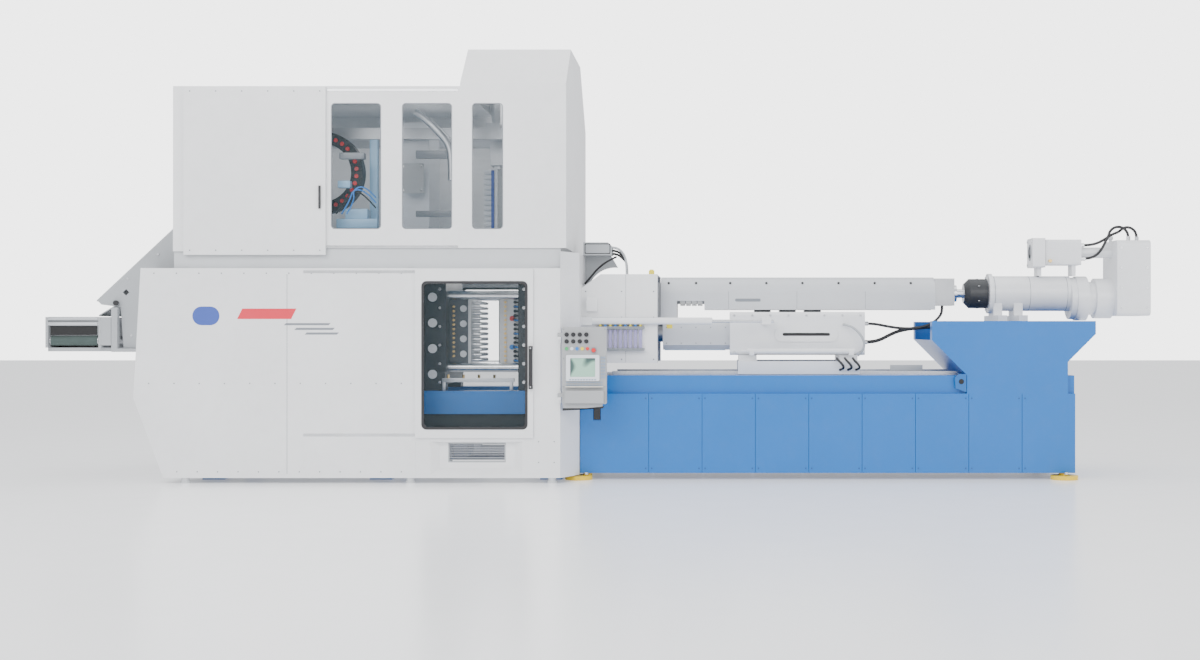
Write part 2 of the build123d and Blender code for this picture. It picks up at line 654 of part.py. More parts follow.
with BuildPart() as end_stand:
    with BuildSketch(Plane.XZ.offset(-stand_half)):
        add(stand_outline(0))
        make_face()
    extrude(amount=2 * stand_half)
    with BuildSketch(Plane.XZ.offset(-stand_half + stand_wall)):
        add(stand_outline(stand_wall))
        make_face()
    extrude(amount=2 * (stand_half - stand_wall), mode=Mode.SUBTRACT)
    for side in (-1, 1):
        y0, y1 = sided(side, bed_half - band_setback, bed_half)
        block(stand_foot_left, stand_foot_right, y0, y1, band_bottom, bed_top)
    block(stand_left - 1, stand_left + stand_wall + 1, -hose_gap_half, hose_gap_half,
          rim_left_z, stand_top + 1, Mode.SUBTRACT)
save(end_stand, "end_stand")

rail_left, rail_right = 60, stand_foot_left - 40
with BuildPart() as guide_rails:
    for side in (-1, 1):
        y0, y1 = side * rail_half - rail_width / 2, side * rail_half + rail_width / 2
        block(rail_left, rail_right, y0, y1, bed_top, bed_top + rail_height)
        block(stand_foot_left + stand_wall + 20, stand_foot_right - stand_wall - 20, y0, y1,
              stand_floor, stand_floor + rail_height)
save(guide_rails, "guide_rails")

# ---- injection carriage -----------------------------------------------------------
rail_top = bed_top + rail_height
carriage_left, carriage_right = housing_left + 80, housing_right - 70
shoe_width = 150
with BuildPart() as carriage_base:
    for side in (-1, 1):
        y0, y1 = side * rail_half - shoe_width / 2, side * rail_half + shoe_width / 2
        block(carriage_left, carriage_right, y0, y1, bed_top + 8, rail_top + 100)
        block(carriage_left - 1, carriage_right + 1, side * rail_half - rail_width / 2 - shoe_gap,
              side * rail_half + rail_width / 2 + shoe_gap, bed_top + 7, rail_top + shoe_gap,
              Mode.SUBTRACT)
    base_half = rail_half - shoe_width / 2
    for x in (carriage_left + 100, carriage_right - 100):
        block(x - 90, x + 90, -base_half, base_half, rail_top + 30, housing_bottom)
        block(x - 90, x + 90, -base_half - 40, base_half + 40, rail_top + 100, housing_bottom)
save(carriage_base, "carriage_base")

plunger_r = shot_bore - fit
with BuildPart() as injection_housing:
    block(housing_left, housing_right, -housing_half, housing_half, housing_bottom, housing_top)
    fillet(injection_housing.edges().filter_by(Axis.X), 40)
    rod_x(housing_left - 1, housing_right - 120, 0, shot_z, shot_bore + 60, Mode.SUBTRACT)
    for side in (-1, 1):
        y0, y1 = sided(side, housing_half - 5, contact_y + contact_rod_r + 20)
        block(rod_right - 90, rod_right, y0, y1, contact_z - 35, contact_z + 35)
        rod_x(rod_right - 91, rod_right + 1, side * contact_y, contact_z, contact_rod_r,
              Mode.SUBTRACT)
save(injection_housing, "injection_housing")

with BuildPart() as shot_pot:
    rod_x(shot_left, shot_right, 0, shot_z, shot_r)
    rod_x(shot_left + 80, shot_right + 1, 0, shot_z, shot_bore, Mode.SUBTRACT)
    rod_x(fixed_left + 2, shot_left, 0, shot_z, nozzle_r)
    rod_x(fixed_left + 1, shot_left + 81, 0, shot_z, 9, Mode.SUBTRACT)

plunger_rest = shot_left + 500
piston_depth = 90
with BuildPart() as injection_plunger:
    rod_x(plunger_rest, housing_left + 560, 0, shot_z, plunger_r)
    rod_x(housing_left + 560, housing_left + 560 + piston_depth, 0, shot_z, shot_bore + 60 - fit)
save(injection_plunger, "injection_plunger")

melt_left, melt_right, melt_half = 330, barrel_left, 120
with BuildPart() as melt_block:
    block(melt_left, melt_right, -melt_half, melt_half, shot_z + shot_r, barrel_z + barrel_r)
    with Locations(Location((melt_left + 90, 0, (shot_z + barrel_z) / 2))):
        Cylinder(14, barrel_z - shot_z - 2 * 14, mode=Mode.SUBTRACT)
    rod_x(melt_left + 90, melt_right + 1, 0, barrel_z, 14, Mode.SUBTRACT)
    chamfer(melt_block.edges().filter_by(Axis.Y), 12)

with BuildPart() as barrel:
    rod_x(barrel_left, barrel_right, 0, barrel_z, barrel_r)
    rod_x(barrel_left - 1, barrel_right + 1, 0, barrel_z, barrel_bore, Mode.SUBTRACT)

barrel_cover_right = throat_left
cover_low, collar_low, collar_right, slot_right = 1681, 1600, 705, 985
cover_wall = 4


def arch(radius, low):
    """An arched cover's section across the machine."""
    with BuildLine() as outline:
        ThreePointArc((-radius, barrel_z), (0, barrel_z + radius), (radius, barrel_z))
        Polyline((radius, barrel_z), (radius, low), (-radius, low), (-radius, barrel_z))
    return outline.line


with BuildPart() as barrel_cover:
    with BuildSketch(Plane.YZ.offset(barrel_cover_left)):
        add(arch(cover_arc_r, cover_low))
        make_face()
    extrude(amount=barrel_cover_right - barrel_cover_left)
    with BuildSketch(Plane.YZ.offset(barrel_cover_left)):
        add(arch(cover_arc_r, collar_low))
        make_face()
    extrude(amount=collar_right - barrel_cover_left)
    with BuildSketch(Plane.YZ.offset(barrel_cover_left - 1)):
        add(arch(cover_arc_r - cover_wall, collar_low - 1))
        make_face()
    extrude(amount=barrel_cover_right - barrel_cover_left + 2, mode=Mode.SUBTRACT)
    block(collar_right, slot_right, -cover_arc_r - 1, cover_arc_r + 1, cover_low - 1, 1772,
          Mode.SUBTRACT)

shot_cover_left = barrel_left + 2
shot_cover_half, shot_cover_low, shot_cover_high, shot_cover_corner = 230, 1272, 1535, 60
with BuildPart() as shot_cover:
    block(shot_cover_left, housing_left, -shot_cover_half, shot_cover_half, shot_cover_low,
          shot_cover_high + 45)
    fillet(shot_cover.edges().filter_by(Axis.X).group_by(Axis.Z)[-1], 60)
    chamfer(shot_cover.edges().filter_by(Axis.X).group_by(Axis.Z)[0], 50)
    with BuildSketch(Plane.YZ.offset(shot_cover_left - 1)):
        with Locations((0, (shot_cover_low + shot_cover_high + 45) / 2)):
            Rectangle(2 * (shot_cover_half - cover_wall),
                      shot_cover_high + 45 - shot_cover_low - 2 * cover_wall)
            chamfer(vertices(), shot_cover_corner)
    extrude(amount=housing_left - shot_cover_left + 2, mode=Mode.SUBTRACT)

hopper_pitch, hopper_hole_r, hopper_flange = 180, 7, 28
throat_seat, throat_neck = 100, 40      # the hopper's outlet sits above a narrower neck
with BuildPart() as feed_throat:
    block(throat_left, throat_right, -throat_half, throat_half, barrel_z - throat_half,
          barrel_z + throat_half)
    throat_x = (throat_left + throat_right) / 2
    with Locations((throat_x, 0, barrel_z + throat_half)):
        Box(throat_right - throat_left, 2 * throat_half, hopper_flange,
            align=(Align.CENTER, Align.CENTER, Align.MIN))
    with Locations((throat_x, 0, barrel_z + throat_half + hopper_flange)):
        Cylinder(throat_bore, throat_seat,
                 align=(Align.CENTER, Align.CENTER, Align.MAX), mode=Mode.SUBTRACT)
        Cylinder(throat_neck, throat_half + hopper_flange,
                 align=(Align.CENTER, Align.CENTER, Align.MAX), mode=Mode.SUBTRACT)
        with GridLocations(hopper_pitch, hopper_pitch, 2, 2):
            Cylinder(hopper_hole_r, hopper_flange, align=(Align.CENTER, Align.CENTER, Align.MAX),
                     mode=Mode.SUBTRACT)
    rod_x(throat_left - 1, throat_right + 1, 0, barrel_z, barrel_bore, Mode.SUBTRACT)

screw_tip = barrel_left + 60
root_r = 33
with BuildPart() as plasticizing_screw:
    rod_x(screw_tip, coupling_left, 0, barrel_z, root_r)
    rod_x(throat_left + 140, coupling_left, 0, barrel_z, barrel_bore - fit)
    rod_x(screw_tip, screw_tip + 90, 0, barrel_z, barrel_bore - fit)

with BuildPart() as screw_coupling:
    rod_x(coupling_left, coupling_right - 8, 0, drive_z + 20, coupling_r)
    chamfer(screw_coupling.edges().filter_by(GeomType.CIRCLE).sort_by(Axis.X)[0], 55)

leg_x_carriage = (coupling_right + 40, coupling_right + 250)
with BuildPart() as drive_cylinder:
    rod_x(coupling_right, drive_right, 0, drive_z + 20, drive_r)
    rod_x(coupling_right, coupling_right + 40, 0, drive_z + 20, drive_r + 25)
    for x in leg_x_carriage:
        block(x, x + 90, -rail_half - 40, rail_half + 40, stand_top - 60, stand_top + 60)
        block(x, x + 90, -150, 150, stand_top, drive_z - 60)
        for side in (-1, 1):
            y0, y1 = side * rail_half - 40, side * rail_half + 40
            block(x, x + 90, y0, y1, stand_floor + rail_height + shoe_gap, stand_top)

gear_left, gear_right = drive_right, guard_box_left
with BuildPart() as drive_gearbox:
    for x0, x1, radius in ((gear_left, gear_left + 60, 215), (gear_left + 60, gear_left + 176, 228),
                           (gear_left + 176, gear_left + 258, 170),
                           (gear_left + 258, gear_right, 206)):
        rod_x(x0, x1, 0, drive_z - 30, radius)

motor_left, motor_right, motor_z, motor_y = 4340, 4842, 2270, -40
with BuildPart() as drive_motor:
    block(motor_left + 140, motor_right, motor_y - 125, motor_y + 125, motor_z - 130,
          motor_z + 130)
    block(motor_left, motor_left + 130, motor_y - 150, motor_y + 150, motor_z - 155, motor_z + 145)
    rod_x(motor_left + 130, motor_left + 140, motor_y, motor_z, 110)
    fillet(drive_motor.edges().filter_by(Axis.X), 16)
    rod_x(motor_right, guard_box_left, motor_y, motor_z, 55)
    for x in (motor_left + 60, motor_right - 90):
        block(x, x + 40, motor_y - 90, motor_y + 90, drive_z + 20 + drive_r + shoe_gap,
              motor_z - 100)
save(drive_motor, "drive_motor")

guard_box_low, guard_box_high, guard_box_half = 1619, 2388, 300
with BuildPart() as belt_guard:
    block(guard_box_left, guard_box_right, -guard_box_half, guard_box_half, guard_box_low,
          guard_box_high)
    fillet(belt_guard.edges().filter_by(Axis.X), 45)
    chamfer(belt_guard.faces().sort_by(Axis.X)[-1].outer_wire().edges(), 6)
save(belt_guard, "belt_guard")

# ---- nozzle end -------------------------------------------------------------------
clevis = 60
with BuildPart() as contact_cylinders:
    for side in (-1, 1):
        y = side * contact_y
        rod_x(contact_left, contact_right, y, contact_z, contact_r)
        rod_x(contact_left + clevis, contact_right + 1, y, contact_z, contact_rod_r + fit,
              Mode.SUBTRACT)
        block(end_wall_x, contact_left, y - 28, y + 28, contact_z - 40, contact_z + 40)
save(contact_cylinders, "contact_cylinders")

with BuildPart() as contact_rods:
    for side in (-1, 1):
        rod_x(contact_left + clevis + 400, rod_right + 30, side * contact_y, contact_z,
              contact_rod_r)
save(contact_rods, "contact_rods")

guard_y = contact_y - contact_r - 5
slope_run, slope_drop = 190, 138


def nozzle_guard_outline(inset):
    """The white cover's side view, with its top corner cut back over the gusset."""
    left, right = nozzle_guard_left - (1 if inset else 0), nozzle_guard_right - inset
    low, high = nozzle_guard_bottom - (1 if inset else 0), nozzle_guard_top - inset
    with BuildLine() as outline:
        Polyline((left, low), (left, high - slope_drop), (nozzle_guard_left + slope_run, high),
                 (right, high), (right, low), close=True)
    return outline.line


with BuildPart() as nozzle_guard:
    with BuildSketch(Plane.XZ.offset(-guard_y)):
        add(nozzle_guard_outline(0))
        make_face()
    extrude(amount=2 * guard_y)
    with BuildSketch(Plane.XZ.offset(-guard_y + sheet)):
        add(nozzle_guard_outline(sheet))
        make_face()
    extrude(amount=2 * (guard_y - sheet), mode=Mode.SUBTRACT)
    block(nozzle_guard_right - 2 * sheet, nozzle_guard_right + 1, -280, 280,
          nozzle_guard_bottom - 1, nozzle_guard_top - 2 * sheet, Mode.SUBTRACT)
save(nozzle_guard, "nozzle_guard")

box_right, box_bottom, box_top = 49, 2232, 2362
with BuildPart() as junction_box:
    x1, z0, z1 = box_right, box_bottom, box_top
    block(end_wall_x, x1, -330, -80, z0, z1)
    chamfer(junction_box.edges().filter_by(Axis.Y).sort_by(Axis.Z)[-1:], 40)
    with BuildSketch(Plane.XZ.offset(80)):
        with BuildLine():
            Polyline((end_wall_x, z0), (end_wall_x, z0 - 300), (end_wall_x + 40, z0 - 305))
            ThreePointArc((end_wall_x + 40, z0 - 305), (end_wall_x + 140, z0 - 172),
                          (x1 + 50, z0 - 120))
            Polyline((x1 + 50, z0 - 120), (x1 - 20, z0), (end_wall_x, z0))
        make_face()
    extrude(amount=8)
save(junction_box, "junction_box")

# ---- operator panel ---------------------------------------------------------------
stop_x, stop_z, stop_stem_r = -65, 1280, 9
hinge_x, hinge_y, hinge_r, knuckle_r = panel_left - 25, -1148, 10, 20
lug_high, knuckle_high = 28, 40
lug_levels = (panel_bottom + 96, panel_bottom + 676)
with BuildPart() as operator_panel:
    block(panel_left, panel_right, panel_front, panel_back, panel_bottom + 60, panel_top)
    fillet(operator_panel.edges().filter_by(Axis.Y), 14)
    block(panel_left + 30, panel_right - 24, panel_front - 46, panel_front, panel_bottom + 70,
          panel_bottom + 190)
    for level in lug_levels:
        z0 = level + lug_high + shoe_gap
        with Locations((hinge_x, hinge_y, z0)):
            Cylinder(knuckle_r, knuckle_high, align=(Align.CENTER, Align.CENTER, Align.MIN))
        block(hinge_x, panel_left, hinge_y - knuckle_r, hinge_y + knuckle_r, z0,
              z0 + knuckle_high)
        with Locations((hinge_x, hinge_y, z0)):
            Cylinder(hinge_r + fit, knuckle_high, mode=Mode.SUBTRACT,
                     align=(Align.CENTER, Align.CENTER, Align.MIN))
    with Locations(Location((stop_x, panel_front, stop_z), (90, 0, 0))):
        Cylinder(stop_stem_r, 60, mode=Mode.SUBTRACT)

with BuildPart() as panel_arm:
    block(panel_left + 10, panel_right - 40, panel_front + 5, panel_back - 5, panel_bottom + 20,
          panel_bottom + 60)
    chamfer(panel_arm.edges().filter_by(Axis.Y).group_by(Axis.Z)[0], 14)

with BuildPart() as panel_brackets:
    for level in lug_levels:
        block(hinge_x - 45, hinge_x + 10, -guard_half - 8, -guard_half, level - 30, level + 90)
        block(hinge_x - 16, hinge_x + 14, hinge_y - 15, -guard_half - 8, level,
              level + lug_high)
        with Locations((hinge_x, hinge_y, level)):
            Cylinder(hinge_r, lug_high + shoe_gap + knuckle_high,
                     align=(Align.CENTER, Align.CENTER, Align.MIN))

with BuildPart() as emergency_stop:
    with Locations(Location((stop_x, panel_front - 22, stop_z), (90, 0, 0))):
        Cylinder(stop_button_r, 16)
    with Locations(Location((stop_x, panel_front + 3, stop_z), (90, 0, 0))):
        Cylinder(stop_stem_r - fit, 34)
save(emergency_stop, "emergency_stop")

# ---- discharge --------------------------------------------------------------------


def wall_x(z):
    """The left end wall's outer face, above its waist."""
    share = (z - guard_waist) / (guard_top - guard_waist)
    return guard_waist_left + share * (guard_top_left - guard_waist_left)


side_plate, chute_foot = 6, 1300
low_x, low_z = chute_low
high_x, high_z = chute_high
chute_half = conveyor_half - 70
with BuildPart() as discharge_chute:
    for y in (-chute_half, chute_half - side_plate):
        with BuildSketch(Plane.XZ.offset(-y - side_plate)):
            with BuildLine():
                Polyline((low_x, low_z), (high_x, high_z), (high_x + 18, guard_top + seat),
                         (wall_x(guard_top) - seat, guard_top + seat),
                         (wall_x(chute_foot) - seat, chute_foot), (-4740, chute_foot),
                         (-4770, 1700), (low_x + 45, low_z - 44), close=True)
            make_face()
            with Locations((-4716, 1846)):
                Rectangle(46, 46, rotation=45, mode=Mode.SUBTRACT)
        extrude(amount=side_plate)
    with BuildSketch(Plane.XZ.offset(-chute_half)):
        with BuildLine():
            Polyline((low_x, low_z), (high_x, high_z), (high_x, high_z - 2 * side_plate),
                     (low_x, low_z - 2 * side_plate), close=True)
        make_face()
        with BuildLine():
            Polyline((-4985, 1622), (-4520, 1900), (-4520, 1900 - 2 * side_plate),
                     (-4985, 1622 - 2 * side_plate), close=True)
        make_face()
    extrude(amount=2 * chute_half)
save(discharge_chute, "discharge_chute")

plate_left, plate_right = belt_left - 19, belt_right + 19
end_plate_thick = 24
roller_y = conveyor_half - 60
shaft_r = 12
belt_gap = 0.3
belt_outer = roller_r + belt_gap + belt_thick
with BuildPart() as conveyor_frame:
    for x0 in (conveyor_left, plate_right):
        block(x0, x0 + end_plate_thick, -conveyor_half, conveyor_half, conveyor_bottom + 37,
              conveyor_top)
    x0, x1 = conveyor_left + end_plate_thick, plate_right
    block(x0, x1, -650, 650, roller_z + 20, roller_z + roller_r)
    for z in (1518, 1570):
        block(x0, x1, -conveyor_half, 14 - conveyor_half, z, z + 34)
    block(conveyor_left, -4838, 60 - conveyor_half, conveyor_half - 60, conveyor_bottom,
          conveyor_bottom + 37)
    for y in (-roller_y, roller_y):
        rod_x(conveyor_left - 1, plate_right + end_plate_thick + 1, y, roller_z, shaft_r + fit,
              Mode.SUBTRACT)

with BuildPart() as conveyor_belt:
    with BuildSketch(Plane.YZ.offset(belt_left)):
        with Locations((0, roller_z)):
            SlotCenterToCenter(2 * roller_y, 2 * belt_outer)
            SlotCenterToCenter(2 * roller_y, 2 * (roller_r + belt_gap), mode=Mode.SUBTRACT)
    extrude(amount=belt_right - belt_left)
save(conveyor_belt, "conveyor_belt")

for y, name in ((-roller_y, "drive_roller"), (roller_y, "idler_roller")):
    with BuildPart() as roller:
        rod_x(belt_left - 8, belt_right + 8, y, roller_z, roller_r)
        rod_x(conveyor_left - 4, plate_right + end_plate_thick - 2, y, roller_z, shaft_r)
    save(roller, name)

with BuildPart() as conveyor_motor:
    x0, x1 = plate_right + end_plate_thick, -4840
    block(x0, x1, -conveyor_half + 2, -conveyor_half + 150, conveyor_bottom + 60, conveyor_top)
    fillet(conveyor_motor.edges().filter_by(Axis.Y), 8)
    with Locations(Location(((x0 + x1) / 2, -conveyor_half + 255, roller_z), (90, 0, 0))):
        Cylinder(42, 230)

bracket_foot, bracket_bar = 1258, 34
with BuildPart() as conveyor_brackets:
    for side in (-1, 1):
        y0, y1 = sided(side, conveyor_half - 66, conveyor_half - 6)
        with BuildSketch(Plane.XZ.offset(-y1)):
            with BuildLine():
                Polyline((-4838, bracket_foot), (wall_x(bracket_foot) - seat, bracket_foot),
                         (wall_x(bracket_foot + bracket_bar) - seat, bracket_foot + bracket_bar),
                         (-4779, bracket_foot + bracket_bar), (-4779, 1695), (-4838, 1695),
                         close=True)
            make_face()
        extrude(amount=y1 - y0)

# ---- hoses ------------------------------------------------------------------------
motor_hose_r, supply_hose_r, wide_hose_r = 14, 14, 18
loop_a_x, loop_b_x = 5336, 5226         # middle of each loop over the belt guard
loop_r, loop_z = 100, guard_box_high + 46


def hose_loop(middle_x, y, drift):
    """The top of a hose loop, from its left side to its down-going end."""
    points = []
    for step in range(7):
        angle = math.radians(180 - 30 * step)
        points.append((middle_x + loop_r * math.cos(angle), y + drift * step,
                       loop_z + loop_r * math.sin(angle)))
    points.append((middle_x + loop_r, y + drift * 6, guard_box_high))
    return points


hose_routes = {
    "motor_hose_a": (motor_hose_r, [
        (motor_right, -80, 2345), (4925, -80, 2345), (5020, -80, 2363), (5100, -81, 2405),
        (5165, -82, 2452)] + hose_loop(loop_a_x, -82, 4)[1:]),
    "motor_hose_b": (motor_hose_r, [
        (motor_right, -135, 2205), (4915, -135, 2205), (4995, -135, 2232), (5050, -134, 2290),
        (5088, -132, 2362)] + hose_loop(loop_b_x, -131, -3)),
    "supply_hose_a": (supply_hose_r, [
        (housing_right, -150, 1540), (2720, -150, 1540), (2860, -160, 1510), (3000, -170, 1490),
        (3140, -166, 1490), (3260, -146, 1515), (3352, -112, 1562), (3414, -78, 1625),
        (3430, -68, 1675), (3430, -68, barrel_z - throat_half)]),
    "supply_hose_b": (wide_hose_r, [
        (housing_right, -60, 1350), (2706, -60, 1350), (2800, -58, 1375), (2884, -56, 1420),
        (2972, -52, 1460), (3080, -48, 1484), (3230, -44, 1500), (3400, -42, 1510),
        (3580, -42, 1524), (3760, -44, 1536), (3850, -44, 1536 + 4),
        (coupling_right + 40, -44, 1536 + 4)]),
}


def corner_radii(route):
    """Each arc of a hose is as large as its two runs allow."""
    points = [Vector(*point) for point in route]
    radii = []
    for before, here, after in zip(points, points[1:], points[2:]):
        turn = (here - before).get_angle(after - here)
        shorter = min((here - before).length, (after - here).length)
        radii.append(0.45 * shorter / math.tan(math.radians(turn) / 2))
    return radii


for name, (radius, route) in hose_routes.items():
    radii = corner_radii(route)
    print(name, "radii", [round(value) for value in radii], "diameter", 2 * radius)
    with BuildPart() as hose:
        with BuildLine() as path:
            FilletPolyline(*route, radius=radii)
        heading = Vector(*route[1]) - Vector(*route[0])
        with BuildSketch(Plane(origin=route[0], z_dir=heading)):
            Circle(radius)
        sweep(path=path.wires()[0])
    whole = path.wires()[0].length
    print(name, "length", round(whole), "volume ratio",
          round(hose.part.volume / (math.pi * radius ** 2 * whole), 4))
    save(hose, name)

# ---- pieces that share a node -----------------------------------------------------
save_group("guard_panels", side_panels, door_surrounds, left_end_wall, right_end_wall,
           panel_brackets)
save_group("guard_frame", guard_frame, grey_band, guard_feet)
save_group("upper_panels", window_panel, upper_panels)
save_group("tie_bars", tie_bars, tie_bar_nuts)
save_group("robot_frame", robot_beams, mast_guide)
save_group("upper_floor", upper_floor, chain_shelf)
save_group("conveyor_frame", conveyor_frame, conveyor_motor, conveyor_brackets)
save_group("operator_panel", operator_panel, panel_arm)
save_group("screw_drive", drive_cylinder, drive_gearbox)
save_group("shot_pot", shot_pot, melt_block)
save_group("plasticizing_screw", plasticizing_screw, screw_coupling)
save_group("takeoff_plate", takeoff_plate, takeoff_sleeves)
save_group("plasticizing_barrel", barrel, feed_throat)
save_group("barrel_covers", barrel_cover, shot_cover)
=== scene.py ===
import json
import math

import bmesh
import bpy
from mathutils import Matrix, Vector


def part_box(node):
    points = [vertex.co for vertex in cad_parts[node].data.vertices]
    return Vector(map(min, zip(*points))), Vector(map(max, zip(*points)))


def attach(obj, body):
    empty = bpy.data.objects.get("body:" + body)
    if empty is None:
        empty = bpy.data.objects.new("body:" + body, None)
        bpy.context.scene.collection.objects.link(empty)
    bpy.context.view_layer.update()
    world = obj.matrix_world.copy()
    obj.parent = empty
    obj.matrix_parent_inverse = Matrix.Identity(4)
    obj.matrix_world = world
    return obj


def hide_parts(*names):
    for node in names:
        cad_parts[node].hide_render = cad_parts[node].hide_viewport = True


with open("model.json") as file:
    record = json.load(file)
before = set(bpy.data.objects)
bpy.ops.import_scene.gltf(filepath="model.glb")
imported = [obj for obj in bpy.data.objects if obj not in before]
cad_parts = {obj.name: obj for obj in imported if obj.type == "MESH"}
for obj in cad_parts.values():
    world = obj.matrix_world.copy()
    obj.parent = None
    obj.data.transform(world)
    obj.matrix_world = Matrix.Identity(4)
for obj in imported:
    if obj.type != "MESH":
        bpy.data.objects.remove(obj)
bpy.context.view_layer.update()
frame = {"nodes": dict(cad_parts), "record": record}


# ---- shader maths ------------------------------------------------------------------
class Wire:
    """A socket in a finish; operators on it add Math nodes."""

    def __init__(self, finish, socket):
        self.finish, self.socket = finish, socket

    def _math(self, operation, first, second):
        return self.finish.node("ShaderNodeMath", {"operation": operation}, {0: first, 1: second})

    def __add__(self, other):
        return self._math("ADD", self, other)

    __radd__ = __add__

    def __sub__(self, other):
        return self._math("SUBTRACT", self, other)

    def __rsub__(self, other):
        return self._math("SUBTRACT", other, self)

    def __mul__(self, other):
        return self._math("MULTIPLY", self, other)

    __rmul__ = __mul__


class Finish:
    """One surface finish, built node by node on Object coordinates."""

    def __init__(self, name, **constants):
        self.material = bpy.data.materials.new(name)
        self.material.use_nodes = True
        self.nodes = self.material.node_tree.nodes
        self.links = self.material.node_tree.links
        self.shader = self.nodes["Principled BSDF"]
        for key, value in constants.items():
            self.shader.inputs[key.replace("_", " ")].default_value = value
        self.place = self.node("ShaderNodeTexCoord", {}, {}, "Object")

    def node(self, kind, settings, values, output=0):
        made = self.nodes.new(kind)
        for key, value in settings.items():
            if key == "stops":
                ramp = made.color_ramp.elements
                for stop, (at, shade) in zip(ramp, value):
                    stop.position, stop.color = at, shade
            else:
                setattr(made, key, value)
        for key, value in values.items():
            if isinstance(value, Wire):
                self.links.new(value.socket, made.inputs[key])
            else:
                made.inputs[key].default_value = value
        return Wire(self, made.outputs[output])

    def drive(self, name, wire):
        self.links.new(wire.socket, self.shader.inputs[name])

    def stretched(self, scale):
        return self.node("ShaderNodeMapping", {}, {"Vector": self.place, "Scale": scale})

    def noise(self, scale, detail=3.0, rough=0.5, stretch=None):
        where = self.place if stretch is None else self.stretched(stretch)
        return self.node("ShaderNodeTexNoise", {}, {"Vector": where, "Scale": scale,
                                                    "Detail": detail, "Roughness": rough})

    def blend(self, amount, first, second):
        return self.node("ShaderNodeMix", {"data_type": "RGBA"},
                         {0: amount, 6: first, 7: second}, 2)

    def ramp(self, wire, low, high):
        return self.node("ShaderNodeMapRange", {}, {"Value": wire, "From Min": low,
                                                    "From Max": high})

    def bump(self, wire, strength, depth):
        lifted = self.node("ShaderNodeBump", {}, {"Height": wire, "Strength": strength,
                                                  "Distance": depth})
        self.drive("Normal", lifted)


def shade(colour, factor):
    return tuple(min(1.0, part * factor) for part in colour[:3]) + (1.0,)


def painted(name, colour, rough=0.35, grain=0.15, coat=0.25, dirt=0.06):
    """Sprayed paint: orange peel, a slight drift of tone and dust in scattered patches."""
    paint = Finish(name, Coat_Weight=coat, Coat_Roughness=0.18)
    drift = paint.noise(1.7, 4.0)
    peel = paint.noise(260.0, 2.0)
    dust = paint.ramp(paint.noise(9.0, 5.0, 0.65), 0.48, 0.8)
    toned = paint.blend(paint.ramp(drift, 0.3, 0.7), shade(colour, 0.965), shade(colour, 1.02))
    paint.drive("Base Color", paint.blend(dust * dirt, toned, (0.30, 0.29, 0.27, 1.0)))
    paint.drive("Roughness", paint.noise(24.0, 3.0) * 0.12 + (rough - 0.04))
    paint.bump(peel, grain, 0.0006)
    return paint.material


def machined(name, colour, rough=0.28, along=(1.0, 40.0, 40.0), grain=0.12):
    """Bright metal with the marks left by the tool that cut or ground it."""
    metal = Finish(name, Metallic=1.0)
    marks = metal.noise(14.0, 3.0, 0.6, along)
    cloud = metal.noise(3.0, 3.0)
    metal.drive("Base Color", metal.blend(metal.ramp(cloud, 0.3, 0.7), shade(colour, 0.86),
                                          shade(colour, 1.05)))
    metal.drive("Roughness", marks * 0.16 + (rough - 0.06))
    metal.bump(marks, grain, 0.0004)
    return metal.material


def casting(name, colour, rough=0.5):
    """Paint over a sand-cast skin."""
    skin = Finish(name, Coat_Weight=0.12)
    sand = skin.noise(120.0, 4.0, 0.6)
    wear = skin.ramp(skin.noise(6.0, 5.0, 0.7), 0.62, 0.85)
    skin.drive("Base Color", skin.blend(wear * 0.35, shade(colour, 1.0), shade(colour, 1.8)))
    skin.drive("Roughness", skin.noise(30.0, 3.0) * 0.2 + (rough - 0.1))
    skin.bump(sand, 0.35, 0.0012)
    return skin.material


def moulded(name, colour, rough=0.45, grain=0.25, coat=0.0, size=420.0):
    """Moulded plastic or rubber with a fine texture."""
    plastic = Finish(name, Coat_Weight=coat)
    pores = plastic.node("ShaderNodeTexVoronoi", {}, {"Vector": plastic.place, "Scale": size}, 0)
    plastic.drive("Base Color", plastic.blend(plastic.ramp(plastic.noise(5.0), 0.3, 0.7),
                                              shade(colour, 0.85), shade(colour, 1.15)))
    plastic.drive("Roughness", plastic.noise(40.0) * 0.15 + (rough - 0.06))
    plastic.bump(pores, grain, 0.0004)
    return plastic.material


def clear(name, colour, alpha, rough=0.04):
    """A clear pane, a little clouded by fine wiping marks."""
    pane = Finish(name, IOR=1.45, Specular_IOR_Level=0.16)
    smear = pane.noise(6.0, 4.0, 0.6, (1.0, 1.0, 5.0))
    pane.drive("Base Color", pane.blend(pane.ramp(smear, 0.4, 0.7), shade(colour, 1.0),
                                        shade(colour, 0.95)))
    pane.drive("Roughness", smear * 0.06 + rough)
    pane.drive("Alpha", smear * 0.06 + (alpha - 0.03))
    return pane.material


def lit(name, colour, strength, dim):
    """A screen: dark glass with soft light areas of plain colour."""
    screen = Finish(name, Coat_Weight=0.6, Emission_Strength=strength)
    rows = screen.node("ShaderNodeTexNoise", {}, {"Vector": screen.stretched((3.0, 1.0, 2.0)),
                                                  "Scale": 2.0, "Detail": 0.0})
    glow = screen.ramp(rows, 0.46, 0.52)
    screen.drive("Base Color", screen.blend(glow, dim, colour))
    screen.drive("Emission Color", screen.blend(glow, dim, colour))
    screen.drive("Roughness", rows * 0.05 + 0.12)
    return screen.material


